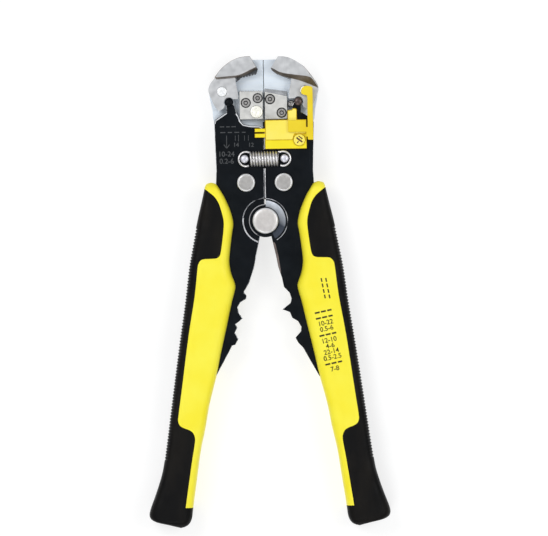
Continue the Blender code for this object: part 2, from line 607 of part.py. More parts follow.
def upper_jaws(shop):
    """The swinging jaws: a cheek and a block on each face, a tie between them and the working insert."""
    notch = arc(ARM_TIP, NOTCH_R, CHEEK_NOTCH_DEG[0], CHEEK_NOTCH_DEG[1], 12)
    for side in ("left", "right"):
        body = side + "_upper_jaw"
        outline = sided(side, CHEEK_TOP + notch + CHEEK_INNER)
        pin_hole = circle(sided(side, [JAW_PIN])[0], JAW_PIN_HOLE_R, 20)
        for end, sign in (("front", 1), ("rear", -1)):
            shop.slab(f"{side}_cheek_{end}", body, "steel", [outline, pin_hole], layer(PLATE_Z, sign))
            name = f"{side}_block_{end}"
            if side == "left":
                shop.slab(name, body, "steel", [mirrored(LEFT_BLOCK)], layer(BLOCK_Z, sign), BLOCK_CHAMFER)
            else:
                shop.loft(name, body, "steel", RIGHT_BLOCK_BASE, sign * BLOCK_Z[0], RIGHT_BLOCK_FACE,
                          sign * BLOCK_Z[1])
        shop.cylinder(f"{side}_jaw_tie", body, "steel", sided(side, [TIE])[0], TIE_R,
                      (-PLATE_Z[0] + GAP, PLATE_Z[0] - GAP), 16)
    teeth = toothed(TOOTH_START, TOOTH_END, TOOTH_COUNT, TOOTH_DEPTH, 1)
    shop.slab("upper_grip_teeth", "left_upper_jaw", "blade_steel", [mirrored(teeth + UPPER_TEETH)], TEETH_Z)
    shop.slab("upper_blade_holder", "right_upper_jaw", "blade_steel", [UPPER_HOLDER], INSERT_Z)
    shop.slab("upper_blade", "right_upper_jaw", "bright_steel", [UPPER_BLADE], BLADE_Z)


def length_stop(shop):
    """The sliding stop on its rail, the arm that meets the wire and the screw that holds it."""
    rail = [(RAIL_X[0], RAIL_Y[0]), (RAIL_X[1], RAIL_Y[0]), (RAIL_X[1], RAIL_Y[1]), (RAIL_X[0], RAIL_Y[1])]
    shop.slab("stop_rail", "right_handle", "steel", [rail], (PLATE_Z[1] + GAP, RAIL_TOP_Z))
    body = shop.as_mesh(shop.slab("stop_body", "length_stop", "yellow_plastic", [STOP_BODY], STOP_Z,
                                  STOP_CHAMFER))
    low, high = RAIL_Y[0] - GROOVE_GAP, RAIL_Y[1] + GROOVE_GAP
    groove = shop.slab("cut_stop_groove", "length_stop", None,
                       [[(-6.0, low), (20.0, low), (20.0, high), (-6.0, high)]],
                       (STOP_Z[0] - 1, RAIL_TOP_Z + GROOVE_GAP))
    cut(body, shop.as_mesh(groove))
    shop.slab("stop_arm", "length_stop", "yellow_plastic", [STOP_ARM], STOP_ARM_Z, STOP_CHAMFER)
    low = STOP_Z[1] + GAP
    shop.turned("stop_screw", "length_stop", "yellow_plastic", STOP_SCREW,
                [(STOP_SCREW_R - 0.3, low + 1.0), (STOP_SCREW_R, low + 0.7), (STOP_SCREW_R, low)], 20)


def main():
    shop = Workshop()
    side_plates(shop, "left", CRIMP_LEFT)
    side_plates(shop, "right", CRIMP_RIGHT)
    grip(shop, "left")
    grip(shop, "right")
    rivets(shop)
    spring(shop)
    lower_jaws(shop)
    jaw_pins(shop)
    upper_jaws(shop)
    length_stop(shop)


main()
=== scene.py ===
import json
import math

import bmesh
import bpy
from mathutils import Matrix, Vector

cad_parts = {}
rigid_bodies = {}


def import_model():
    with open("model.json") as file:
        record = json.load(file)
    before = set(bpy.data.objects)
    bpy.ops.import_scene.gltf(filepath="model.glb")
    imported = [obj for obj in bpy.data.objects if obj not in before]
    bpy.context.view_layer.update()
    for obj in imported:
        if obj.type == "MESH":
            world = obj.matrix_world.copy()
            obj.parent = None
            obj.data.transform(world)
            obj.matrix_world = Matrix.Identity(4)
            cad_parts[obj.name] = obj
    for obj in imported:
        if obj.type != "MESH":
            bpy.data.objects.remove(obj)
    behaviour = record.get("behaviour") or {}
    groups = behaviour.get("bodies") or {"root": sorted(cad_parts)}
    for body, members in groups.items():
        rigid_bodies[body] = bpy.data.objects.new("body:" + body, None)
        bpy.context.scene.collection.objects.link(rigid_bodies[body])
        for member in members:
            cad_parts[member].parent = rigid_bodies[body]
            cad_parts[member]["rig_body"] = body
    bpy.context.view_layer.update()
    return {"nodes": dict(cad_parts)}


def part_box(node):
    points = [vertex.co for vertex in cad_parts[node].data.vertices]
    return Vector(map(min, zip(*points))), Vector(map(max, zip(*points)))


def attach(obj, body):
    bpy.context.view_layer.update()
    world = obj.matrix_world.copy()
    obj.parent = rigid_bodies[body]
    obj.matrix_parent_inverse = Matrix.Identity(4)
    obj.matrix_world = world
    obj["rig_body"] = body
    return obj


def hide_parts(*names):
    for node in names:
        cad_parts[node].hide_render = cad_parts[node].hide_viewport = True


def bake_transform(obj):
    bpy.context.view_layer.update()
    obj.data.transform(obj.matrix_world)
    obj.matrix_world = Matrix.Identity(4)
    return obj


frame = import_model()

MM = 0.001
NODES = frame["nodes"]


def middle(node):
    """The middle of a node's box."""
    low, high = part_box(node)
    return (low + high) / 2


# The tool's own frame, in millimetres: the main pivot is at x = y = 0, and z = 0 is mid-thickness.
PIVOT = middle("main_pivot_rivet")


def at(x, y, z=0.0):
    """A place in the tool's own frame, in the shared frame's metres."""
    return PIVOT + Vector((x, y, z)) * MM


# ---------------------------------------------------------------- finishes

# How far apart the rings of a wave texture are at scale 1
WAVE_PERIOD = 0.314


class Finish:
    """A procedural material on one Principled shader, with textures in object coordinates."""

    def __init__(self, name, metallic=0.0, specular=0.5):
        self.material = bpy.data.materials.new(name)
        self.material.use_nodes = True
        self.tree = self.material.node_tree
        self.shader = self.tree.nodes["Principled BSDF"]
        self.shader.inputs["Metallic"].default_value = metallic
        self.shader.inputs["Specular IOR Level"].default_value = specular
        self.position = self.tree.nodes.new("ShaderNodeTexCoord").outputs["Object"]
        self.height = None

    def link(self, source, socket):
        """Feeds one of the shader's inputs."""
        self.tree.links.new(source, self.shader.inputs[socket])

    def noise(self, size_mm, detail=3.0, stretch=(1, 1, 1), turn_deg=0.0):
        """Noise with features of about the given size, drawn out along an axis by its stretch."""
        mapping = self.tree.nodes.new("ShaderNodeMapping")
        mapping.inputs["Rotation"].default_value = (0.0, 0.0, math.radians(turn_deg))
        mapping.inputs["Scale"].default_value = [1.0 / (size_mm * MM * s) for s in stretch]
        texture = self.tree.nodes.new("ShaderNodeTexNoise")
        texture.inputs["Scale"].default_value = 1.0
        texture.inputs["Detail"].default_value = detail
        self.tree.links.new(self.position, mapping.inputs["Vector"])
        self.tree.links.new(mapping.outputs["Vector"], texture.inputs["Vector"])
        return texture.outputs["Fac"]

    def rings(self, centre, pitch_mm):
        """Fine turning marks round a z axis."""
        mapping = self.tree.nodes.new("ShaderNodeMapping")
        mapping.inputs["Location"].default_value = [-c for c in centre]
        wave = self.tree.nodes.new("ShaderNodeTexWave")
        wave.wave_type = "RINGS"
        wave.rings_direction = "Z"
        wave.inputs["Scale"].default_value = WAVE_PERIOD / (pitch_mm * MM)
        wave.inputs["Distortion"].default_value = 0.6
        self.tree.links.new(self.position, mapping.inputs["Vector"])
        self.tree.links.new(mapping.outputs["Vector"], wave.inputs["Vector"])
        return wave.outputs["Fac"]

    def spread(self, source, low, high, start=0.3, stop=0.7):
        """A value that runs from low to high while the source runs from start to stop."""
        node = self.tree.nodes.new("ShaderNodeMapRange")
        for socket, value in (("From Min", start), ("From Max", stop), ("To Min", low), ("To Max", high)):
            node.inputs[socket].default_value = value
        self.tree.links.new(source, node.inputs["Value"])
        return node.outputs["Result"]

    def mix(self, factor, first, second):
        """A blend of two colours, each a tuple or another node's output."""
        node = self.tree.nodes.new("ShaderNodeMix")
        node.data_type = "RGBA"
        self.tree.links.new(factor, node.inputs["Factor"])
        for socket, colour in (("A", first), ("B", second)):
            target = next(s for s in node.inputs if s.name == socket and s.type == "RGBA")
            if isinstance(colour, tuple):
                target.default_value = (*colour, 1.0)
            else:
                self.tree.links.new(colour, target)
        return next(s for s in node.outputs if s.type == "RGBA")

    def patches(self, size_mm, detail, first, second):
        """Soft patches of two colours."""
        return self.mix(self.spread(self.noise(size_mm, detail), 0.0, 1.0), first, second)

    def gloss(self, size_mm, detail, low, high):
        """A roughness that wanders between two values."""
        self.link(self.spread(self.noise(size_mm, detail), low, high), "Roughness")

    def bump(self, source, depth_mm, strength):
        """Adds relief on top of any relief the material already has."""
        node = self.tree.nodes.new("ShaderNodeBump")
        node.inputs["Strength"].default_value = strength
        node.inputs["Distance"].default_value = depth_mm * MM
        self.tree.links.new(source, node.inputs["Height"])
        if self.height:
            self.tree.links.new(self.height, node.inputs["Normal"])
        self.height = node.outputs["Normal"]
        self.link(self.height, "Normal")


def black_steel(name):
    """Blackened steel: blue-black with faint smudges, a fine tooth and a few light rubs."""
    finish = Finish(name, specular=0.08)
    base = finish.patches(9.0, 4.0, (0.0025, 0.004, 0.006), (0.0055, 0.0078, 0.011))
    rubs = finish.spread(finish.noise(0.5, 2.0, (1, 30, 1), 24.0), 0.0, 0.35, 0.69, 0.8)
    finish.link(finish.mix(rubs, base, (0.04, 0.045, 0.052)), "Base Color")
    finish.gloss(3.0, 4.0, 0.3, 0.46)
    finish.bump(finish.noise(0.25, 2.0), 0.006, 0.4)
    return finish.material


def worn_edge(name):
    """An edge where the blackening has rubbed through to bare steel in places."""
    finish = Finish(name, metallic=0.7)
    wear = finish.spread(finish.noise(3.5, 4.0), 0.0, 1.0, 0.34, 0.52)
    finish.link(finish.mix(wear, (0.03, 0.033, 0.04), (0.62, 0.64, 0.68)), "Base Color")
    finish.gloss(1.2, 3.0, 0.25, 0.42)
    return finish.material


# Grain that isn't drawn out along any axis
EVEN = (1, 1, 1)


def brushed_steel(name, light, dark, roughness, stretch=(1, 25, 1), turn_deg=0.0, grain_mm=0.16,
                  metallic=0.8):
    """Ground steel: streaks along one way, patchy roughness and small tone changes."""
    finish = Finish(name, metallic=metallic)
    streaks = finish.noise(grain_mm, 3.0, stretch, turn_deg)
    tone = finish.patches(5.0, 4.0, dark, light)
    finish.link(finish.mix(finish.spread(streaks, 0.0, 0.45), tone, dark), "Base Color")
    finish.gloss(2.5, 4.0, roughness - 0.05, roughness + 0.07)
    finish.bump(streaks, 0.003, 0.4)
    return finish.material


# Over which heights the frame steel turns from black painted shade to pale steel
FRAME_SHADE_EDGE_Y = (36.0, 37.0)


def frame_steel(name):
    """Pale blue-grey steel above the black plates, with black painted shade where they cover it."""
    finish = Finish(name, metallic=0.12)
    streaks = finish.noise(0.2, 3.0, (25, 1, 1))
    pale = finish.mix(finish.spread(streaks, 0.0, 1.0), (0.8, 0.89, 1.0), (0.87, 0.94, 1.0))
    split = finish.tree.nodes.new("ShaderNodeSeparateXYZ")
    finish.tree.links.new(finish.position, split.inputs["Vector"])
    low, high = (at(0.0, y).y for y in FRAME_SHADE_EDGE_Y)
    # Painted shade: black below these heights, in the gaps and windows that show the frame
    paler_part = finish.spread(split.outputs["Y"], 0.0, 1.0, low, high)
    finish.link(finish.mix(paler_part, (0.006, 0.008, 0.011), pale), "Base Color")
    finish.gloss(3.0, 3.0, 0.28, 0.42)
    finish.bump(streaks, 0.003, 0.4)
    return finish.material


def turned_steel(name, centre, light, dark, roughness, metallic=0.8):
    """A rivet or screw head: turning marks round its own axis under a light patina."""
    finish = Finish(name, metallic=metallic)
    finish.link(finish.patches(1.4, 3.0, dark, light), "Base Color")
    finish.gloss(0.8, 3.0, roughness - 0.05, roughness + 0.08)
    finish.bump(finish.rings(centre, 0.35), 0.004, 0.35)
    return finish.material


# The way in which the painted highlight on the dished ring grows, and from where to where, measured from the
# pivot
HIGHLIGHT_WAY = (0.5, 0.87)
HIGHLIGHT_FROM, HIGHLIGHT_TO = 1.5, 9.2


def dish_steel(name):
    """The dished ring by the pivot: black, with a painted highlight that grows paler the further it lies
    along the way set above.
    """
    finish = Finish(name, metallic=0.6)
    along = finish.tree.nodes.new("ShaderNodeVectorMath")
    along.operation = "DOT_PRODUCT"
    along.inputs[1].default_value = (*HIGHLIGHT_WAY, 0.0)
    finish.tree.links.new(finish.position, along.inputs[0])
    start, stop = (PIVOT.xy.dot(Vector(HIGHLIGHT_WAY)) + reach * MM for reach in (HIGHLIGHT_FROM, HIGHLIGHT_TO))
    # Painted highlight: a pale band that stands for light caught by the dished ring
    paler_part = finish.spread(along.outputs["Value"], 0.0, 1.0, start, stop)
    tone = finish.patches(1.5, 3.0, (0.5, 0.54, 0.6), (0.66, 0.7, 0.76))
    finish.link(finish.mix(paler_part, (0.012, 0.018, 0.03), tone), "Base Color")
    finish.gloss(2.0, 2.0, 0.3, 0.4)
    return finish.material


def yellow_plastic(name, light=(0.975, 0.885, 0.065), deep=(0.955, 0.83, 0.03)):
    """Moulded yellow plastic: a fine satin texture with slight changes of tone and gloss."""
    finish = Finish(name, specular=0.25)
    finish.link(finish.patches(14.0, 3.0, deep, light), "Base Color")
    finish.gloss(4.0, 4.0, 0.36, 0.5)
    finish.bump(finish.noise(0.3, 2.0), 0.012, 0.4)
    return finish.material


def black_rubber(name):
    """Moulded rubber: matt and grainy, with brownish dusty patches where it is handled, which also stand for
    a painted sheen.
    """
    finish = Finish(name, specular=0.1)
    # Brownish streaks along the grip: partly dusty patches, partly a painted sheen
    dust_and_sheen = finish.spread(finish.noise(9.0, 5.0, (1, 3, 1)), 0.0, 1.0, 0.42, 0.72)
    finish.link(finish.mix(dust_and_sheen, (0.003, 0.003, 0.0033), (0.0095, 0.008, 0.0065)), "Base Color")
    finish.gloss(5.0, 3.0, 0.42, 0.62)
    finish.bump(finish.noise(0.35, 3.0), 0.03, 0.45)
    finish.bump(finish.noise(2.2, 3.0), 0.05, 0.3)
    return finish.material


def print_ink(name, colour, worn):
    """Pad-printed ink, thinner in places."""
    finish = Finish(name, specular=0.2)
    finish.link(finish.patches(0.5, 3.0, worn, colour), "Base Color")
    finish.gloss(0.8, 2.0, 0.45, 0.65)
    return finish.material


# ---------------------------------------------------------------- making pieces

# Points closer than this are joined, in metres
NODE_WELD, CURVE_WELD = 0.000002, 0.000001
# Faces within the first angle of each other are one flat; edges over the second one are rounded
FLAT_DEG, EDGE_DEG = 1.5, 30.0


def piece(name, bm, body, materials, nodes=(), smooth_deg=35.0):
    """Makes an object from a mesh, lets it ride on its body and stand for the CAD nodes it replaces."""
    bmesh.ops.recalc_face_normals(bm, faces=bm.faces)
    mesh = bpy.data.meshes.new(name)
    bm.to_mesh(mesh)
    bm.free()
    for material in materials if isinstance(materials, list) else [materials]:
        mesh.materials.append(material)
    mesh.shade_smooth()
    mesh.set_sharp_from_angle(angle=math.radians(smooth_deg))
    made = bpy.data.objects.new(name, mesh)
    bpy.context.scene.collection.objects.link(made)
    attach(made, body)
    if nodes:
        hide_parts(*nodes)
    return made


def rings_to_mesh(bm, rings):
    """A closed skin over rings of points that all have the same number of points."""
    loops = [[bm.verts.new(point) for point in ring] for ring in rings]
    for low, high in zip(loops, loops[1:]):
        for i in range(len(low)):
            j = (i + 1) % len(low)
            bm.faces.new((low[i], low[j], high[j], high[i]))
    bm.faces.new(loops[0])
    bm.faces.new(loops[-1])


def turned(profile, centre, second=(), start_deg=0.0, end_deg=360.0, sides=64):
    """A solid of revolution about z from (radius, z) points in millimetres, z measured from mid-thickness.

    The bands listed in second, counted from the first pair of points, get the piece's second material.
    """
    full = end_deg - start_deg >= 360.0
    bm = bmesh.new()
    columns = []
    for k in range(sides if full else sides + 1):
        angle = math.radians(start_deg + (end_deg - start_deg) * k / sides)
        columns.append([bm.verts.new((centre.x + radius * MM * math.cos(angle),
                                      centre.y + radius * MM * math.sin(angle), PIVOT.z + z * MM))
                        for radius, z in profile])
    pairs = list(zip(columns, columns[1:] + ([columns[0]] if full else [])))
    for left, right in pairs:
        for band in range(len(profile) - 1):
            face = bm.faces.new((left[band], left[band + 1], right[band + 1], right[band]))
            face.material_index = 1 if band in second else 0
    if full:
        bm.faces.new([column[0] for column in columns])
        bm.faces.new([column[-1] for column in columns])
    return bm


def bevel(target, width_mm, segments, angle_deg):
    """Rounds the edges that are sharper than an angle."""
    edge = target.modifiers.new("edges", "BEVEL")
    edge.width = width_mm * MM
    edge.segments = segments
    edge.limit_method = "ANGLE"
    edge.angle_limit = math.radians(angle_deg)
    return edge


def soften(target, width_mm, segments=2, own_material=False):
    """Rounds the edges of a piece or of a carried-over CAD node and keeps its flats looking flat."""
    weld = target.modifiers.new("weld", "WELD")
    weld.merge_threshold = NODE_WELD
    flats = target.modifiers.new("flats", "DECIMATE")
    flats.decimate_type = "DISSOLVE"
    flats.angle_limit = math.radians(FLAT_DEG)
    edge = bevel(target, width_mm, segments, EDGE_DEG)
    if own_material:
        edge.material = 1
    normals = target.modifiers.new("normals", "WEIGHTED_NORMAL")
    normals.keep_sharp = False
    normals.weight = 100


def dress(node, materials, width_mm=0.0, segments=2):
    """Gives a carried-over CAD node its material, a second one on its edges if named, and soft edges."""
    shown = NODES[node]
    shown.data.materials.clear()
    named = materials if isinstance(materials, list) else [materials]
    for material in named:
        shown.data.materials.append(material)
    shown.data.shade_smooth()
    if width_mm:
        soften(shown, width_mm, segments, len(named) > 1)


# ---------------------------------------------------------------- grips

GRIP_HALF = 9.47
RUBBER_HALF = 9.15
GRIP_TOP_Y = 16.95
GRIP_LOW_Y = -133.35
# (y, x) of the outer and the inner edge of the right grip
OUTER_EDGE = [(16.9, 24.0), (16.5, 25.4), (15.2, 26.2), (13.0, 26.7), (7.5, 28.0), (0.0, 29.8), (-10.0, 31.8),
              (-20.0, 33.7), (-35.0, 35.7), (-50.0, 38.0), (-65.0, 40.2), (-80.0, 42.3), (-92.0, 43.95),
              (-100.0, 45.1), (-108.0, 46.4), (-114.0, 48.1), (-120.0, 50.2), (-124.5, 51.9), (-127.2, 52.58),
              (-129.0, 52.2), (-130.2, 50.9), (-131.1, 48.6), (-131.9, 45.0), (-132.7, 41.8), (-133.35, 39.2)]
INNER_EDGE = [(16.9, 22.9), (16.4, 21.4), (14.0, 19.7), (11.0, 17.9), (8.0, 16.5), (5.0, 15.3), (1.0, 14.2),
              (-1.5, 13.95), (-5.0, 14.5), (-10.0, 15.2), (-15.0, 15.8), (-18.5, 15.9), (-23.0, 15.1),
              (-26.5, 13.8), (-28.3, 13.4), (-30.5, 13.75), (-35.0, 15.0), (-46.0, 17.5), (-58.0, 20.3),
              (-65.0, 21.8), (-80.0, 25.7), (-90.0, 27.6), (-100.0, 29.8), (-112.0, 31.6), (-122.0, 33.1),
              (-126.5, 33.7), (-129.5, 34.15), (-131.2, 34.9), (-132.3, 35.9), (-133.0, 37.2),
              (-133.35, 38.5)]
# Where the yellow core meets the rubber, downwards
SEAM_LINE = [(31.0, 16.8), (26.3, 14.3), (24.0, 12.6), (21.8, 10.6), (20.2, 8.0), (18.9, 4.0), (18.1, 0.0),
             (18.25, -4.0), (19.0, -10.0), (19.6, -13.6), (20.2, -15.2), (21.6, -16.2), (24.5, -16.4),
             (27.2, -16.5), (28.5, -17.1), (29.3, -18.3), (29.8, -20.5), (31.3, -33.0), (34.2, -50.0),
             (37.6, -74.0), (39.1, -84.5), (39.2, -87.0), (38.4, -88.7), (36.8, -89.7), (34.5, -90.6),
             (32.8, -92.0), (32.0, -94.6), (32.5, -98.6), (33.6, -105.0), (36.6, -124.6)]
# Sections are superellipses
SECTION_POINTS = 60
SECTION_POWER = 5.0
RIB_PITCH = 1.3
RIB_DEPTH = 0.5
RIB_REACH = 2.0
RIB_FROM_Y, RIB_TO_Y = -3.0, -104.0
RIB_SHARPNESS = 1.5
RIB_RISE = 1.5
# The half-width that a section keeps where the grip closes
LEAST_REACH = 0.15
# Over how long a stretch each end is rounded off, and by how much
TOP_STRETCH, TOP_DROP = 3.5, 3.0
END_STRETCH, END_DROP = 3.0, 2.8
SEAM_GAP = 0.1
SEAM_END_Y = -124.6
REGION_HALF = 20.0
GRIP_EDGE_DEG = 50.0


def smooth_value(table, y):
    """The x at a height, on a cubic through (y, x) points that run downwards."""
    for i in range(len(table) - 1):
        y1, x1 = table[i]
        y2, x2 = table[i + 1]
        if y >= y2 or i == len(table) - 2:
            before = table[max(i - 1, 0)]
            after = table[min(i + 2, len(table) - 1)]
            slope1 = (x2 - before[1]) / (y2 - before[0])
            slope2 = (after[1] - x1) / (after[0] - y1)
            h = y2 - y1
            t = min(max((y - y1) / h, 0.0), 1.0)
            return (x1 * (2 * t**3 - 3 * t**2 + 1) + h * slope1 * (t**3 - 2 * t**2 + t)
                    + x2 * (3 * t**2 - 2 * t**3) + h * slope2 * (t**3 - t**2))
    return table[-1][1]


def grip_stations(step):
    """Heights of the sections, closer together near both rounded ends."""
    ys = [GRIP_TOP_Y - 0.02, 16.8, 16.6, 16.2, 15.6, 14.8]
    y = 14.0
    while y > -126.5:
        ys.append(y)
        y -= step
    return ys + [-127.2, -128.0, -128.8, -129.5, -130.2, -130.8, -131.3, -131.8, -132.3, -132.7, -133.05,
                 GRIP_LOW_Y]


def grip_shell(half, ribbed, mirror):
    """A whole grip as a loft of crowned sections along y, with or without ribs down its outer edge."""
    bm = bmesh.new()
    rings = []
    for y in grip_stations(RIB_PITCH / 6 if ribbed else 1.0):
        inner, outer = smooth_value(INNER_EDGE, y), smooth_value(OUTER_EDGE, y)
        top = max(0.0, 1.0 - (GRIP_TOP_Y - y) / TOP_STRETCH)
        end = max(0.0, 1.0 - (y - GRIP_LOW_Y) / END_STRETCH)
        height = half - TOP_DROP * top**2 - END_DROP * end**2
        centre, reach = (inner + outer) / 2, max((outer - inner) / 2, LEAST_REACH)
        rib = 0.0
        if ribbed and RIB_TO_Y < y < RIB_FROM_Y:
            rib = RIB_DEPTH * (0.5 - 0.5 * math.cos(2 * math.pi * y / RIB_PITCH)) ** RIB_SHARPNESS
        ring = []
        for k in range(SECTION_POINTS):
            angle = 2 * math.pi * (k + 0.5) / SECTION_POINTS
            c, n = math.cos(angle), math.sin(angle)
            bulk = abs(c / reach) ** SECTION_POWER + abs(n / height) ** SECTION_POWER
            size = bulk ** (-1 / SECTION_POWER)
            x = centre + size * c
            x -= rib * min(1.0, max(0.0, (x - (outer - RIB_REACH)) / RIB_REACH) * RIB_RISE)
            ring.append(at(-x if mirror else x, y, size * n))
        rings.append(ring)
    rings_to_mesh(bm, rings)
    bmesh.ops.recalc_face_normals(bm, faces=bm.faces)
    return bm


def prism(outline, low, high):
    """A flat solid between two heights."""
    bm = bmesh.new()
    rings_to_mesh(bm, [[at(x, y, z) for x, y in outline] for z in (low, high)])
    bmesh.ops.recalc_face_normals(bm, faces=bm.faces)
    return bm


def spline_point(p0, p1, p2, p3, t):
    """A point between p1 and p2, on a smooth curve that passes p0 before and p3 after them."""
    return tuple(0.5 * (2 * p1 + (p2 - p0) * t + (2 * p0 - 5 * p1 + 4 * p2 - p3) * t * t
                        + (3 * p1 - p0 - 3 * p2 + p3) * t**3))


def rounded_line(points, steps=4):
    """A smooth open curve through the points."""
    curve = []
    for i in range(len(points) - 1):
        near = [Vector(points[min(max(i + k, 0), len(points) - 1)]) for k in (-1, 0, 1, 2)]
        curve += [spline_point(*near, step / steps) for step in range(steps)]
    return curve + [tuple(points[-1])]


def moved_out(points, distance):
    """An open line moved to its left by a distance."""
    moved = []
    for i, point in enumerate(points):
        along = Vector(points[min(i + 1, len(points) - 1)]) - Vector(points[max(i - 1, 0)])
        along.normalize()
        moved.append((point[0] - along.y * distance, point[1] + along.x * distance))
    return moved


def combined(bm, region_bm, operation):
    """A solid cut down by another: INTERSECT keeps what lies inside it, DIFFERENCE what lies outside."""
    solids = []
    for name, source in (("shell", bm), ("region", region_bm)):
        mesh = bpy.data.meshes.new(name)
        source.to_mesh(mesh)
        source.free()
        solid = bpy.data.objects.new(name, mesh)
        bpy.context.scene.collection.objects.link(solid)
        solids.append(solid)
    shell, region = solids
    boolean = shell.modifiers.new("keep", "BOOLEAN")
    boolean.operation = operation
    boolean.solver = "EXACT"
    boolean.object = region
    graph = bpy.context.evaluated_depsgraph_get()
    result = bmesh.new()
    result.from_mesh(shell.evaluated_get(graph).to_mesh())
    bpy.data.objects.remove(shell)
    bpy.data.objects.remove(region)
    return result


def grips():
    """Both grips: a yellow core and a rubber skin with its end cap, cut from one shell along the seam."""
    yellow, rubber = yellow_plastic("core_yellow"), black_rubber("grip_black")
    seam = rounded_line(SEAM_LINE, 4)
    core_region = moved_out(seam, SEAM_GAP) + [(5.0, SEAM_END_Y + SEAM_GAP), (5.0, 30.0), (31.0, 30.0)]
    rubber_region = moved_out(seam, -SEAM_GAP) + [(28.0, SEAM_END_Y - SEAM_GAP), (28.0, -140.0),
                                                  (70.0, -140.0), (70.0, 16.8)]
    for side in ("left", "right"):
        mirror = side == "left"
        for part, region, half, material, slot, width_mm in (
                ("core", core_region, GRIP_HALF, yellow, "yellow_core", 0.5),
                ("rubber", rubber_region, RUBBER_HALF, rubber, "black_rubber", 0.3)):
            outline = [(-x, y) for x, y in region] if mirror else region
            keep = prism(outline, -REGION_HALF, REGION_HALF)
            shape = combined(grip_shell(half, part == "rubber", mirror), keep, "INTERSECT")
            made = piece(f"{side}_{part}_shape", shape, f"{side}_handle", material,
                         (f"{side}_grip_{part}",), 40.0)
            bevel(made, width_mm, 2, GRIP_EDGE_DEG)


# ---------------------------------------------------------------- rivets, screws and pins

HEAD_SMOOTH_DEG = 28.0


def doubled(profile):
    """A rivet with a head at both ends."""
    return profile + [(radius, -z) for radius, z in reversed(profile)]


def fasteners():
    """Every turned piece. Each row of the plan holds a node, its profile and body, the bands in the second
    finish, the tones, roughness and metalness of the first finish, and the second finish: a paler painted
    highlight on rivet rims, black painted shade on the rest.
    """
    # Painted highlight: the rounded rims of the rivet heads are paler than the heads
    rim = turned_steel("rivet_rim_painted_highlight", PIVOT, (0.84, 0.84, 0.85), (0.72, 0.72, 0.74), 0.3, 0.3)
    # Painted shade: sockets, shanks and the sides and undersides of heads are black
    dark = black_steel("socket_painted_shade")
    pivot = doubled([(0.4, 7.03), (1.5, 7.05), (1.62, 7.035), (1.74, 7.05), (3.4, 7.05), (4.85, 7.02),
                     (5.1, 6.95), (5.42, 6.7), (5.6, 6.35), (5.6, 5.2), (5.45, 5.02), (3.0, 5.02)])
    link = doubled([(0.4, 6.86), (2.6, 6.88), (3.3, 6.86), (3.5, 6.8), (3.78, 6.55), (3.9, 6.2), (3.9, 5.47),
                    (2.2, 5.47)])
    post = [(0.3, 8.5), (1.0, 8.46), (1.45, 8.32), (1.7, 8.08), (1.75, 7.85), (1.7, 7.65), (1.5, 7.4),
            (1.5, 5.45)]
    pin = doubled([(0.4, 5.59), (1.7, 5.59), (2.0, 5.53), (2.13, 5.35), (2.15, 5.0)])
    disc = [(0.3, 5.52), (0.9, 5.46), (1.0, 5.5), (2.2, 5.5), (2.5, 5.44), (2.66, 5.28), (2.68, 5.07),
            (2.75, 5.05), (1.1, 5.05), (1.1, -2.5)]
    screw = [(0.2, 3.75), (0.25, 3.9), (0.62, 3.9), (0.64, 3.7), (0.98, 3.7), (0.98, 4.86), (1.05, 4.9),
             (1.6, 4.9), (1.78, 4.78), (1.8, 4.4), (2.12, 4.4), (2.12, 2.65), (1.1, 2.65), (1.1, -2.5)]
    small = [(0.2, 1.9), (0.45, 1.95), (0.6, 1.95), (0.66, 2.6), (0.8, 2.68), (1.1, 2.69), (1.25, 2.6),
             (1.28, 2.3), (1.5, 2.25), (1.5, 0.06), (1.1, 0.06), (1.1, -2.5)]
    warm, cool = ((0.68, 0.655, 0.64), (0.6, 0.575, 0.56)), ((0.72, 0.72, 0.78), (0.6, 0.6, 0.66))
    cream, grey = ((1.0, 0.99, 0.9), (0.95, 0.94, 0.84)), ((0.5, 0.49, 0.48), (0.42, 0.41, 0.4))
    white = ((0.98, 0.99, 1.0), (0.9, 0.93, 0.95))
    plan = [("main_pivot_rivet", pivot, "left_handle", (5, 6, 7, 15, 16, 17), warm, 0.34, 0.6, rim),
            ("centre_rivet", disc, "left_jaw_frame", (6, 7), cream, 0.3, 0.25, dark),
            ("right_frame_screw", small, "right_jaw_frame", (2, 3, 7, 8), grey, 0.26, 0.6, dark)]
    for side in ("left", "right"):
        plan += [(f"{side}_link_rivet", link, f"{side}_handle", (2, 3, 4, 11, 12, 13), grey, 0.34, 0.7, rim),
                 (f"{side}_spring_post", post, f"{side}_handle", (6,), cool, 0.36, 0.7, dark),
                 (f"{side}_jaw_pin", pin, f"{side}_jaw_frame", (3,), white, 0.25, 0.15, dark)]
    for name in ("left_jaw_screw_outer", "left_jaw_screw_inner"):
        plan.append((name, screw, "left_jaw_frame", (3, 4, 9, 10), grey, 0.26, 0.6, dark))
    for name in ("right_jaw_screw_upper", "right_jaw_screw_lower"):
        plan.append((name, screw, "right_jaw_frame", (3, 4, 9, 10), grey, 0.26, 0.6, dark))
    for node, profile, body, bands, tones, roughness, metallic, second in plan:
        centre = middle(node)
        metal = turned_steel(f"{node}_metal", centre, *tones, roughness, metallic)
        piece(f"{node}_shape", turned(profile, centre, bands), body, [metal, second],
              (node,), HEAD_SMOOTH_DEG)


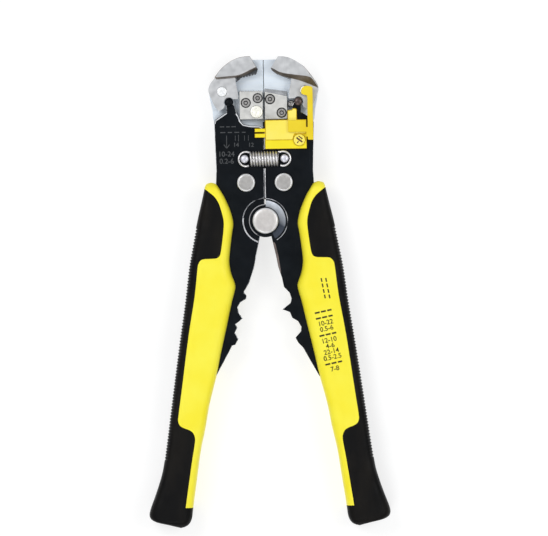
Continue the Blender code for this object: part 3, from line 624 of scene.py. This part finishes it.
def pivot_dish():
    """Round the main rivet: the dished ring with its painted highlight and the fine groove of the right
    plate, the edge of its lug, and a painted highlight on an arc of the left plate's recess rim.
    """
    groove = worn_edge("groove_steel")
    dish = [(6.0, 4.98), (6.6, 5.06), (7.6, 5.22), (8.4, 5.36), (8.8, 5.44), (8.8, 5.3), (6.0, 4.8)]
    piece("pivot_dish", turned(dish, PIVOT, (), -62.0, 88.0, 60), "right_handle",
          dish_steel("dish_metal"))
    ring = [(9.5, 5.38), (9.56, 5.46), (9.76, 5.46), (9.82, 5.38)]
    piece("pivot_groove", turned(ring, PIVOT, (), -60.0, 88.0, 72), "right_handle", groove)
    # A pale arc on the lower left only: a painted highlight on the rim of the left plate's recess
    rim = [(9.45, 4.2), (9.5, 5.38), (9.58, 5.44), (9.9, 5.44), (9.95, 5.3)]
    bright = brushed_steel("recess_highlight_metal", (0.85, 0.86, 0.9), (0.5, 0.51, 0.54), 0.3, EVEN, 0.0, 0.8, 0.5)
    piece("pivot_recess_rim", turned(rim, PIVOT, (), 172.0, 250.0, 60), "left_handle", bright)
    lug = [(6.85, 5.3), (6.92, 5.44), (7.16, 5.44), (7.22, 5.3)]
    paler_part = brushed_steel("lug_metal", (0.62, 0.62, 0.64), (0.36, 0.36, 0.38), 0.32, EVEN, 0.0, 0.8, 0.6)
    piece("pivot_lug_edge", turned(lug, PIVOT, (), 93.0, 238.0, 72), "right_handle", paler_part)


# ---------------------------------------------------------------- spring

COIL_Y, COIL_Z = 27.0, 6.1
COIL_R, COIL_WIRE_R, LOOP_WIRE_R = 2.96, 0.4, 0.52
COIL_HALF, COIL_TURNS = 6.2, 10
LOOP_X, LOOP_R, LOOP_HALF_DEG = 8.1, 3.1, 112.0
TURN_STEPS, WIRE_SIDES = 28, 10


def spring():
    """The pull spring: a close coil with a hook round each post."""
    loop = []
    for k in range(TURN_STEPS + 1):
        angle = math.radians(LOOP_HALF_DEG - 2 * LOOP_HALF_DEG * k / TURN_STEPS)
        loop.append(Vector((LOOP_X + LOOP_R * math.cos(angle), COIL_Y + LOOP_R * math.sin(angle), COIL_Z)))
    steps = COIL_TURNS * TURN_STEPS
    coil = []
    for i in range(steps + 1):
        angle = 2 * math.pi * COIL_TURNS * i / steps
        coil.append(Vector((COIL_HALF * (2 * i / steps - 1), COIL_Y + COIL_R * math.cos(angle),
                            COIL_Z + COIL_R * math.sin(angle))))
    path = [Vector((-p.x, p.y, p.z)) for p in reversed(loop)] + coil + loop
    bm = bmesh.new()
    side = Vector((0, 0, 1))
    rings = []
    for i, point in enumerate(path):
        along = (path[min(i + 1, len(path) - 1)] - path[max(i - 1, 0)]).normalized()
        side = (side - along * side.dot(along)).normalized()
        up = along.cross(side)
        thick = COIL_WIRE_R if abs(point.x) < COIL_HALF else LOOP_WIRE_R
        ring = []
        for k in range(WIRE_SIDES):
            angle = 2 * math.pi * k / WIRE_SIDES
            ring.append(at(*(point + (side * math.cos(angle) + up * math.sin(angle)) * thick)))
        rings.append(ring)
    rings_to_mesh(bm, rings)
    material = brushed_steel("spring_wire", (0.98, 0.98, 1.0), (0.74, 0.72, 0.72), 0.3, EVEN, 0.0, 0.6, 0.8)
    made = piece("pull_spring", bm, "left_handle", material, ("tension_spring",), 60.0)
    made.parent = None
    del made["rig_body"]
    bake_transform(made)


# ---------------------------------------------------------------- plates and printed marks

PLATE_FRONT = 5.4
INK_LIFT = 0.02
BOLD = 0.045
# The printed lines lean with the grip: sideways per millimetre down, and upwards per millimetre across
GRIP_LEAN = 0.19
LINE_RISE = 0.21


def strip(bm, centre, size, z, turn_deg=0.0):
    """A thin printed bar lying on a face."""
    turn = math.radians(turn_deg)
    corners = []
    for dx, dy in ((-1, -1), (1, -1), (1, 1), (-1, 1)):
        x, y = dx * size[0] / 2, dy * size[1] / 2
        corners.append((centre[0] + x * math.cos(turn) - y * math.sin(turn),
                        centre[1] + x * math.sin(turn) + y * math.cos(turn)))
    rings_to_mesh(bm, [[at(x, y, z + lift) for x, y in corners] for lift in (-INK_LIFT, INK_LIFT)])


def drawn_mesh(drawn):
    """The mesh of a text or curve object, in the shared frame; the object itself is removed."""
    bpy.context.scene.collection.objects.link(drawn)
    bpy.context.view_layer.update()
    graph = bpy.context.evaluated_depsgraph_get()
    mesh = bpy.data.meshes.new_from_object(drawn.evaluated_get(graph))
    mesh.transform(drawn.matrix_world)
    bpy.data.objects.remove(drawn)
    bm = bmesh.new()
    bm.from_mesh(mesh)
    bpy.data.meshes.remove(mesh)
    return bm


def figures(name, text, centre, size, z, turn_deg, body, material):
    """A printed wire size."""
    curve = bpy.data.curves.new(name, "FONT")
    curve.body = text
    curve.size = size * MM
    curve.align_x = "CENTER"
    curve.align_y = "CENTER"
    curve.extrude = INK_LIFT * MM
    curve.offset = BOLD * MM
    label = bpy.data.objects.new(name, curve)
    label.location = at(centre[0], centre[1], z)
    label.rotation_euler = (0.0, 0.0, math.radians(turn_deg))
    piece(name, drawn_mesh(label), body, material)


def plate_marks():
    """Faint gauge marks on the left plate: rows of bars, an arrow, short strokes and wire sizes."""
    ink = print_ink("plate_ink", (0.085, 0.09, 0.095), (0.04, 0.043, 0.047))
    bm = bmesh.new()
    for y, spans in ((41.2, ((-18.3, 1.9), (-15.7, 1.6), (-13.3, 1.9))),
                     (38.7, ((-18.0, 2.2), (-14.9, 1.9), (-11.9, 2.1), (-8.9, 1.6)))):
        for x, width in spans:
            strip(bm, (x, y), (width, 0.42), PLATE_FRONT)
    strip(bm, (-16.4, 34.6), (0.3, 5.6), PLATE_FRONT)
    for side in (-1, 1):
        strip(bm, (-16.4 + side * 0.62, 32.6), (0.3, 2.0), PLATE_FRONT, -side * 36)
    for x, length in ((-12.6, 2.2), (-11.2, 2.8), (-8.6, 2.2), (-6.9, 2.4)):
        strip(bm, (x, 36.2), (0.24, length), PLATE_FRONT)
    piece("plate_gauge_marks", bm, "left_handle", ink)
    for name, text, centre, size in (("plate_size_a", "10-24", (-16.6, 29.2), 3.1),
                                     ("plate_size_b", "0.2-6", (-16.5, 26.1), 3.1),
                                     ("plate_size_c", "14", (-12.3, 33.2), 2.5),
                                     ("plate_size_d", "12", (-5.8, 33.1), 2.5)):
        figures(name, text, centre, size, PLATE_FRONT, 0.0, "left_handle", ink)


def grip_marks():
    """Crimping sizes down the right grip between rows of plain bars."""
    ink = print_ink("grip_ink", (0.014, 0.012, 0.01), (0.09, 0.075, 0.012))
    lines = ["bar", "bar", "10-22", "0.5-6", "bar", "12-10", "4-6", "22-14", "0.5-2.5", "bar", "7-8"]
    turn, pitch = 12.0, 2.5
    first = (24.5, -39.9)
    bm = bmesh.new()
    for number, text in enumerate(lines):
        centre = (first[0] + number * pitch * GRIP_LEAN, first[1] - number * pitch)
        if text == "bar":
            for offset, width in ((-2.6, 2.2), (0.1, 2.2), (2.7, 1.9)):
                place = (centre[0] + offset, centre[1] + offset * LINE_RISE)
                strip(bm, place, (width, 0.75), GRIP_HALF, turn)
        else:
            figures(f"grip_size_{number}", text, centre, 2.9, GRIP_HALF, turn, "right_handle",
                    ink)
    for column in (24.0, 26.0):
        for row in range(4):
            strip(bm, (column + row * 0.45, -26.2 - row * 2.4), (0.6, 1.7), GRIP_HALF, turn)
    piece("grip_bars", bm, "right_handle", ink)


def plates():
    """The side plates, the jaw frames, and the washers and spacer between them."""
    black, edge = black_steel("plate_black"), worn_edge("plate_edge")
    for side in ("left", "right"):
        for end in ("front", "rear"):
            dress(f"{side}_plate_{end}", [black, edge], 0.16, 2)
        dress(f"{side}_frame_plate", frame_steel(f"{side}_frame_metal"), 0.12, 2)
    washer = brushed_steel("washer_metal", (0.7, 0.7, 0.7), (0.5, 0.5, 0.5), 0.35)
    for node in ("left_link_washer", "right_link_washer", "left_pin_washer", "right_pin_washer",
                 "pivot_spacer"):
        dress(node, washer, 0.1, 1)


# The black outline of the spring's bay, a painted shade round the coil, drawn for the right plate
SPRING_WELL = [(0.45, 31.25), (7.15, 31.25), (7.15, 22.75), (0.45, 22.75), (0.45, 23.6), (6.72, 23.6),
               (6.72, 30.4), (0.45, 30.4)]


def bar(name, west, east, low, high, back, front, body, material):
    """A thin strip of steel along y."""
    outline = ((west, low), (east, low), (east, high), (west, high))
    made = piece(name, prism(outline, back, front), body, material)
    soften(made, 0.05, 1)


# The left plate's edge above its arm's foot and over its shoulder, mirrored
HEAD_EDGE = [(0.4, 40.1), (1.0, 40.6), (2.0, 41.2), (6.0, 41.4), (9.0, 42.0), (10.3, 43.5), (11.0, 45.5),
             (11.9, 47.0)]
SHOULDER_EDGE = [(16.3, 47.3), (21.2, 44.1), (21.6, 42.6)]
EDGE_BAND_DEPTH = 0.25


def edge_band(name, line, near, far, top, material):
    """A narrow band along the edge of the left plate, between two distances in from it."""
    left = [(-x, y) for x, y in line]
    outline = moved_out(left, near) + moved_out(left, far)[::-1]
    shape = prism(outline, top - EDGE_BAND_DEPTH, top)
    piece(name, shape, "left_handle", material)


ARM_TIP = (15.1, 51.8)


def arm_tips():
    """The domed studs on the ends of the plates' arms, black on the left and rubbed on the right."""
    dome = [(0.3, 5.98), (0.8, 5.94), (1.25, 5.82), (1.6, 5.63), (1.82, 5.4), (1.86, 5.1), (1.5, 5.0)]
    rubbed = brushed_steel("tip_rubbed", (0.2, 0.14, 0.13), (0.07, 0.05, 0.048), 0.3, EVEN, 0.0, 0.8, 0.5)
    for side, sign, metal in (("left", -1, black_steel("tip_black")), ("right", 1, rubbed)):
        centre = at(sign * ARM_TIP[0], ARM_TIP[1], 0.0)
        piece(f"{side}_arm_tip", turned(dome, centre), f"{side}_handle", metal, (), 40.0)


def bare_edges():
    """The split line with its light edge, a painted highlight, and the black strips beside and behind it,
    painted shade; the rims of the jaw frames and the black rims of the spring's bay, painted shade; bright
    bands and painted shadow lines at the left plate's edges; and the rubbed chamfer of the right throat.
    """
    # Painted highlight: a pale strip on the split line
    edge = brushed_steel("split_edge_highlight_metal", (0.8, 0.8, 0.82), (0.6, 0.6, 0.62), 0.34, (1, 20, 1), 0.0, 0.3,
                         0.5)
    # Painted shade: black strips in and behind the split, round the spring's bay and outside the left plate's
    # edges
    black = black_steel("split_painted_shade")
    for name, material, west, east, top in (("split_edge", edge, -0.06, 0.27, PLATE_FRONT + 0.015),
                                            ("split_shade", black, -0.42, -0.06, PLATE_FRONT + 0.01)):
        for part, low, high in (("low", 10.0, 22.9), ("high", 31.1, 39.8)):
            bar(f"{name}_{part}", west, east, low, high, 3.1, top, "left_handle", material)
    bar("split_back", -0.5, 0.5, 9.5, 43.2, 0.3, 1.3, "left_handle", black)
    bar("frame_tongue", -0.62, 0.5, 40.0, 70.3, -2.45, -1.4, "left_jaw_frame", black)
    pale = frame_steel("lip_metal")
    bar("left_frame_lip", -0.62, -0.02, 22.1, 70.35, -1.3, -0.02, "left_jaw_frame", pale)
    bar("right_frame_lip", 0.24, 0.62, 22.1, 70.35, -1.3, -0.02, "right_jaw_frame", pale)
    for side, sign in (("left", -1), ("right", 1)):
        west, east = sorted((sign * 11.1, sign * 12.1))
        bar(f"{side}_frame_wing", west, east, 59.4, 67.0, -2.45, -0.1, f"{side}_jaw_frame",
            pale)
        well = [(sign * x, y) for x, y in SPRING_WELL]
        piece(f"{side}_spring_well", prism(well, 3.2, PLATE_FRONT + 0.03), f"{side}_handle",
              black)
    # Bright bands along the left plate's upper edges: partly unpainted steel, partly a painted highlight
    ground_and_highlight = brushed_steel("ground_edge_and_highlight_metal", (0.95, 0.96, 0.98), (0.5, 0.52, 0.56), 0.36, EVEN, 0.0, 0.7,
                           0.4)
    for place, line in (("head", HEAD_EDGE), ("shoulder", SHOULDER_EDGE)):
        edge_band(f"left_{place}_edge", line, 0.05, 0.5, PLATE_FRONT + 0.02, ground_and_highlight)
        # Painted shadow: a black line just outside each bright band
        edge_band(f"left_{place}_shade", line, -0.2, 0.05, PLATE_FRONT - 0.1, black)
    throat = [(3.1, -9.3), (4.4, -15.0), (5.3, -20.0), (6.3, -23.2), (6.4, -22.0), (5.9, -19.0), (5.3, -15.0),
              (4.3, -10.6), (3.9, -9.6)]
    chamfer = prism(throat, PLATE_FRONT - 0.2, PLATE_FRONT + 0.03)
    rubbed = brushed_steel("throat_metal", (0.3, 0.24, 0.22), (0.1, 0.085, 0.08), 0.4, (1, 6, 1), 12.0, 0.4)
    piece("throat_chamfer", chamfer, "right_handle", rubbed)


# ---------------------------------------------------------------- head

BLOCK_LOW, BLOCK_TOP = 5.45, 7.7
# Height of the upright wall below a block's slope
BLOCK_WALL = 0.25
# Sharp corners of a smooth outline are given twice
LEFT_BLOCK_FACE = [(-5.7, 71.75), (-5.7, 71.75), (-8.2, 71.66), (-11.0, 71.1), (-14.0, 69.8), (-17.0, 67.7),
                   (-19.2, 65.5), (-20.9, 63.1), (-20.9, 63.1), (-20.3, 62.7), (-20.3, 62.7), (-16.0, 63.0),
                   (-12.0, 63.3), (-9.5, 63.9), (-6.0, 65.6), (-2.9, 67.0), (-2.9, 67.0)]
LEFT_BLOCK_BASE = LEFT_BLOCK_FACE[:7] + [
    (-21.3, 62.9), (-21.3, 62.9), (-20.3, 61.9), (-20.3, 61.9), (-16.0, 62.2), (-12.0, 62.5), (-9.3, 62.9),
    (-5.6, 64.6), (-2.6, 66.2), (-2.6, 66.2)]
RIGHT_BLOCK_FACE = [(6.5, 71.5), (6.5, 71.5), (9.0, 71.4), (12.0, 70.6), (16.0, 68.3), (18.0, 66.5),
                    (20.5, 63.3), (22.0, 61.0), (23.4, 58.4), (23.4, 58.4), (21.6, 61.2), (19.6, 62.6),
                    (14.0, 63.4), (10.0, 64.0), (7.0, 64.8), (4.5, 66.2), (3.5, 66.7), (3.5, 66.7)]
RIGHT_BLOCK_BASE = [(6.5, 71.6), (6.5, 71.6), (9.0, 71.5), (12.0, 70.7), (16.0, 68.4), (18.2, 66.6),
                    (20.8, 63.4), (22.4, 61.0), (24.0, 57.6), (24.0, 57.6), (22.0, 58.4), (19.4, 59.6),
                    (15.0, 61.2), (10.0, 62.4), (6.5, 63.7), (4.2, 65.1), (3.3, 66.4), (3.3, 66.4)]
BLOCKS = {"left": (LEFT_BLOCK_FACE, LEFT_BLOCK_BASE), "right": (RIGHT_BLOCK_FACE, RIGHT_BLOCK_BASE)}
CHEEK = [(12.2, 69.6), (12.2, 69.6), (14.0, 68.9), (17.0, 67.0), (19.7, 64.3), (21.9, 61.7),
         (23.3, 59.8), (24.0, 57.6), (23.7, 55.6), (22.6, 53.0), (21.2, 50.0), (19.4, 48.0), (19.4, 48.0),
         (17.4, 49.3), (17.4, 49.3)]
CHEEK_INNER = [(12.95, 52.35), (10.95, 53.2), (10.95, 53.2), (11.0, 54.5), (11.35, 57.0), (12.0, 60.3),
               (12.2, 63.0)]
CHEEK_BACK, CHEEK_FRONT = 3.0, 5.4
NOTCH_R = 2.2
JAW_PIN, PIN_HOLE_R = (18.1, 56.5), 2.24
OUTLINE_STEPS = 4
HOLE_SIDES = 48


def smooth_outline(points, steps=OUTLINE_STEPS):
    """A closed curve through the points; a point given twice in a row stays a sharp corner."""
    curve, count = [], len(points)
    for i in range(count):
        p1, p2 = Vector(points[i]), Vector(points[(i + 1) % count])
        if p1 == p2:
            continue
        p0, p3 = Vector(points[i - 1]), Vector(points[(i + 2) % count])
        curve += [spline_point(p0, p1, p2, p3, step / steps) for step in range(steps)]
    return curve


def slab(outline, low, high, holes=()):
    """A flat solid with round holes, as a mesh."""
    curve = bpy.data.curves.new("slab", "CURVE")
    curve.dimensions = "2D"
    curve.fill_mode = "BOTH"
    curve.extrude = abs(high - low) / 2 * MM
    loops = [outline]
    for centre, radius in holes:
        loops.append([(centre[0] + radius * math.cos(2 * math.pi * k / HOLE_SIDES),
                       centre[1] + radius * math.sin(2 * math.pi * k / HOLE_SIDES))
                      for k in range(HOLE_SIDES)])
    for loop in loops:
        spline = curve.splines.new("POLY")
        spline.points.add(len(loop) - 1)
        spline.use_cyclic_u = True
        for point, (x, y) in zip(spline.points, loop):
            point.co = (x * MM, y * MM, 0.0, 1.0)
    drawn = bpy.data.objects.new("slab", curve)
    drawn.location = at(0.0, 0.0, (low + high) / 2)
    bm = drawn_mesh(drawn)
    bmesh.ops.remove_doubles(bm, verts=bm.verts, dist=CURVE_WELD)
    return bm


def sloped(face, base, sign):
    """A block whose lower edge slopes out from its face; the sloping band gets the second material, a darker
    painted shade.
    """
    bm = bmesh.new()
    levels = ((base, BLOCK_LOW), (base, BLOCK_LOW + BLOCK_WALL), (face, BLOCK_TOP))
    rings_to_mesh(bm, [[at(x, y, sign * z) for x, y in smooth_outline(line)] for line, z in levels])
    for side in bm.faces:
        side.material_index = 1 if len(side.verts) == 4 else 0
    return bm


def upper_jaws():
    """The swinging jaws' cheeks and blocks, front and rear, with painted shade on their rounded edges and on
    the blocks' sloping undersides.
    """
    steel = brushed_steel("jaw_steel", (0.66, 0.67, 0.685), (0.54, 0.55, 0.565), 0.34, (1, 20, 1), 20.0, 0.16,
                          0.65)
    # Painted shade: a dark finish on the rounded edges of the cheeks
    rim = brushed_steel("jaw_rim_painted_shade", (0.3, 0.29, 0.28), (0.12, 0.115, 0.11), 0.4)
    # Painted shade: a dark brownish finish on the blocks' sloping undersides and rounded edges
    slope = brushed_steel("block_slope_painted_shade", (0.34, 0.29, 0.25), (0.14, 0.12, 0.105), 0.42, (1, 8, 1), 70.0)
    notch = [(ARM_TIP[0] + NOTCH_R * math.cos(math.radians(a)),
              ARM_TIP[1] + NOTCH_R * math.sin(math.radians(a))) for a in range(-35, 166, 8)]
    # The closing stretch of the outer line is left off, since the notch and the inner line close it
    outer = smooth_outline(CHEEK)[:1 - OUTLINE_STEPS]
    for side, sign_x in (("left", -1), ("right", 1)):
        body = f"{side}_upper_jaw"
        outline = [(sign_x * x, y) for x, y in outer + notch + rounded_line(CHEEK_INNER, 3)]
        hole = ((sign_x * JAW_PIN[0], JAW_PIN[1]), PIN_HOLE_R)
        for end, sign in (("front", 1), ("rear", -1)):
            shape = slab(outline, sign * CHEEK_BACK, sign * CHEEK_FRONT, [hole])
            cheek = piece(f"{side}_cheek_{end}_shape", shape, body, [steel, rim],
                          (f"{side}_cheek_{end}",))
            soften(cheek, 0.2, 2, True)
            block = piece(f"{side}_block_{end}_shape", sloped(*BLOCKS[side], sign), body,
                          [steel, slope], (f"{side}_block_{end}",))
            soften(block, 0.14, 2, True)
        dress(f"{side}_jaw_tie", steel)


def head():
    """The upper and the lower jaws with their toothed insert and blades, and painted shade on the lower jaws'
    rounded edges.
    """
    upper_jaws()
    jaw = brushed_steel("lower_jaw_metal", (0.74, 0.74, 0.72), (0.62, 0.62, 0.6), 0.34, (20, 1, 1), 0.0, 0.16,
                        0.65)
    # Painted shade: a near-black finish on the lower jaws' rounded edges
    rim = brushed_steel("lower_jaw_rim_painted_shade", (0.12, 0.12, 0.12), (0.05, 0.05, 0.05), 0.4)
    for node in ("left_lower_jaw", "right_lower_jaw"):
        dress(node, [jaw, rim], 0.14, 2)
    dark = brushed_steel("insert_metal", (0.1, 0.105, 0.115), (0.045, 0.048, 0.052), 0.34)
    dark_rim = brushed_steel("insert_rim", (0.5, 0.52, 0.55), (0.3, 0.31, 0.33), 0.3)
    for node in ("upper_grip_teeth", "upper_blade_holder"):
        dress(node, [dark, dark_rim], 0.07, 1)
    blade = brushed_steel("blade_metal", (0.72, 0.74, 0.77), (0.55, 0.57, 0.6), 0.2, (1, 20, 1))
    for node in ("upper_blade", "lower_blade"):
        dress(node, blade, 0.05, 1)


# ---------------------------------------------------------------- length stop

STOP_LOW, STOP_LEDGE, STOP_TOP = 5.7, 7.15, 7.8
ARM_LOW, ARM_TOP = 7.9, 9.4
KNOB_TOP = 8.72
STOP_BODY = [(0.4, 31.2), (18.5, 31.2), (18.5, 43.9), (14.4, 43.9), (14.4, 48.4), (13.8, 48.8), (12.5, 48.8),
             (12.2, 48.2), (10.3, 48.0), (10.3, 43.9), (0.4, 43.9), (0.4, 40.2), (-4.1, 40.2), (-4.1, 38.6),
             (0.2, 38.6), (0.2, 38.0), (-4.1, 38.0), (-4.1, 36.2), (0.4, 36.2)]
STOP_RAISED = [(0.5, 35.0), (12.4, 35.0), (13.2, 37.6), (18.4, 37.6), (18.4, 43.8), (14.3, 43.8),
               (14.3, 48.3), (13.7, 48.7), (12.6, 48.7), (12.3, 48.1), (10.4, 47.9), (10.4, 43.8),
               (0.5, 43.8)]
STOP_ARM = [(10.5, 38.4), (10.5, 38.4), (18.3, 38.4), (18.3, 38.4), (18.3, 36.3), (18.3, 36.3), (19.0, 36.3),
            (19.0, 36.3), (19.0, 35.4), (19.4, 35.0), (21.0, 35.0), (21.4, 35.4), (21.4, 46.0), (21.4, 56.8),
            (20.9, 58.0), (19.8, 58.4), (18.2, 58.4), (17.0, 57.8), (16.4, 56.6), (16.5, 55.2), (17.4, 54.6),
            (18.5, 54.3), (19.0, 53.4), (19.0, 47.0), (19.0, 40.5), (19.0, 40.5), (18.3, 40.5), (18.3, 40.5),
            (18.3, 43.6), (18.3, 43.6), (10.5, 43.6), (10.5, 43.6)]
# The room that the stop leaves round its rail, and how far right its channel runs
RAIL_ROOM, RAIL_TOP_ROOM = 0.4, 0.08
CHANNEL_END_X = 30.0


def rail_channel():
    """The channel that the stop slides on its rail with, open at its right end."""
    low, high = ((corner - PIVOT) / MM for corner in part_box("stop_rail"))
    west, south, north = low.x - RAIL_ROOM, low.y - RAIL_ROOM, high.y + RAIL_ROOM
    outline = ((west, south), (CHANNEL_END_X, south), (CHANNEL_END_X, north), (west, north))
    return prism(outline, STOP_LOW - 1.0, high.z + RAIL_TOP_ROOM)


def length_stop():
    """The yellow slide with its ledge, arm and knob, the mark on the knob, and the rail; the ledge and the
    knob's top are paler as a painted sheen, the arm and the rounded edges darker as painted shade.
    """
    # Painted sheen: a paler copy of the yellow for the ledge and the knob's top
    pale = yellow_plastic("stop_painted_sheen_yellow", (0.98, 0.86, 0.2), (0.96, 0.8, 0.07))
    base = yellow_plastic("stop_base_yellow", (0.93, 0.8, 0.02), (0.9, 0.74, 0.01))
    # Painted shade: a deeper copy of the yellow for the arm
    deep = yellow_plastic("stop_painted_shade_yellow", (0.9, 0.72, 0.03), (0.82, 0.6, 0.01))
    # Painted shade: an orange-brown copy of the yellow for the rounded edges and the knob's sides
    rim = yellow_plastic("stop_rim_painted_shade", (0.7, 0.48, 0.006), (0.6, 0.38, 0.004))
    slide = combined(slab(STOP_BODY, STOP_LOW, STOP_LEDGE), rail_channel(), "DIFFERENCE")
    ledge = slab(STOP_RAISED, STOP_LEDGE - 0.1, STOP_TOP)
    arm = slab(smooth_outline(STOP_ARM, 3), ARM_LOW, ARM_TOP)
    for name, shape, width_mm, finish, nodes in (("stop_base", slide, 0.18, base, ("stop_body",)),
                                                 ("stop_raised", ledge, 0.26, pale, ()),
                                                 ("stop_reach", arm, 0.26, deep, ("stop_arm",))):
        made = piece(name, shape, "length_stop", [finish, rim], nodes)
        soften(made, width_mm, 2, True)
    dress("stop_rail", brushed_steel("rail_metal", (0.7, 0.7, 0.7), (0.5, 0.5, 0.5), 0.3, (25, 1, 1)), 0.1, 1)
    centre = middle("stop_screw")
    knob = [(0.3, 8.7), (2.0, KNOB_TOP), (2.3, 8.66), (2.45, 8.5), (2.5, 8.2), (2.68, 8.1), (2.75, 7.9),
            (2.75, 7.2)]
    piece("stop_knob", turned(knob, centre, (3, 4, 5)), "length_stop", [pale, rim],
          ("stop_screw",), HEAD_SMOOTH_DEG)
    bm = bmesh.new()
    x, y = ((centre - PIVOT) / MM).xy
    strip(bm, (x, y), (3.2, 0.7), KNOB_TOP, -38.0)
    strip(bm, (x + 0.5, y + 1.0), (2.2, 0.5), KNOB_TOP, -38.0)
    strip(bm, (x - 0.6, y - 0.9), (1.2, 0.45), KNOB_TOP, 52.0)
    ink = print_ink("knob_ink", (0.05, 0.02, 0.03), (0.2, 0.1, 0.05))
    piece("knob_mark", bm, "length_stop", ink)


# ---------------------------------------------------------------- stage

# What the camera sees: its middle in millimetres, its width in metres, and its turn
VIEW_CENTRE = (3.39, -20.66)
VIEW_WIDTH = 0.2393
VIEW_ROLL_DEG = -0.9
CAMERA_HEIGHT = 3.0
SENSOR_MM = 36.0
FLOOR_HALF = 1.6
FLOOR_DROP = 0.1
WORLD_STRENGTH = 0.42
LIGHT_SIZE = 0.6
# Name, place and power of each lamp
LIGHTS = (("key", (-0.5, 0.45, 1.15), 5.15), ("side", (0.62, 0.15, 1.1), 3.75),
          ("low", (-0.2, -0.7, 1.1), 3.65))


def pale_floor():
    """A plain white floor that glows a little, so that it stays plain."""
    bm = bmesh.new()
    bmesh.ops.create_grid(bm, x_segments=1, y_segments=1, size=FLOOR_HALF)
    mesh = bpy.data.meshes.new("floor")
    bm.to_mesh(mesh)
    bm.free()
    finish = Finish("floor_paper", specular=0.1)
    finish.link(finish.patches(40.0, 2.0, (0.34, 0.34, 0.34), (0.38, 0.38, 0.38)), "Base Color")
    finish.shader.inputs["Roughness"].default_value = 0.9
    finish.shader.inputs["Emission Color"].default_value = (1.0, 1.0, 1.0, 1.0)
    finish.shader.inputs["Emission Strength"].default_value = 0.7
    mesh.materials.append(finish.material)
    floor = bpy.data.objects.new("floor", mesh)
    floor.location.z = -FLOOR_DROP * MM
    bpy.context.scene.collection.objects.link(floor)


def studio_light():
    """A bright even surround and three soft lamps."""
    world = bpy.data.worlds.new("studio")
    world.use_nodes = True
    background = world.node_tree.nodes["Background"]
    background.inputs["Color"].default_value = (0.97, 0.985, 1.0, 1.0)
    background.inputs["Strength"].default_value = WORLD_STRENGTH
    bpy.context.scene.world = world
    for name, place, power in LIGHTS:
        light = bpy.data.lights.new(name, "AREA")
        light.shape = "DISK"
        light.size = LIGHT_SIZE
        light.energy = power
        lamp = bpy.data.objects.new(name, light)
        lamp.location = place
        lamp.rotation_euler = (-Vector(place)).to_track_quat("-Z", "Y").to_euler()
        bpy.context.scene.collection.objects.link(lamp)


def camera_above():
    """A camera high above the tool, turned a little, that looks straight down."""
    camera = bpy.data.cameras.new("camera")
    camera.sensor_width = SENSOR_MM
    camera.lens = SENSOR_MM * CAMERA_HEIGHT / VIEW_WIDTH
    viewer = bpy.data.objects.new("camera", camera)
    viewer.location = at(*VIEW_CENTRE, 0.0) + Vector((0.0, 0.0, CAMERA_HEIGHT))
    viewer.rotation_euler = (0.0, 0.0, math.radians(VIEW_ROLL_DEG))
    bpy.context.scene.collection.objects.link(viewer)
    bpy.context.scene.camera = viewer
    bpy.context.scene.view_settings.view_transform = "Standard"
    bpy.context.scene.view_settings.look = "None"


def main():
    grips()
    fasteners()
    pivot_dish()
    spring()
    plates()
    bare_edges()
    arm_tips()
    plate_marks()
    grip_marks()
    head()
    length_stop()
    pale_floor()
    studio_light()
    camera_above()


main()
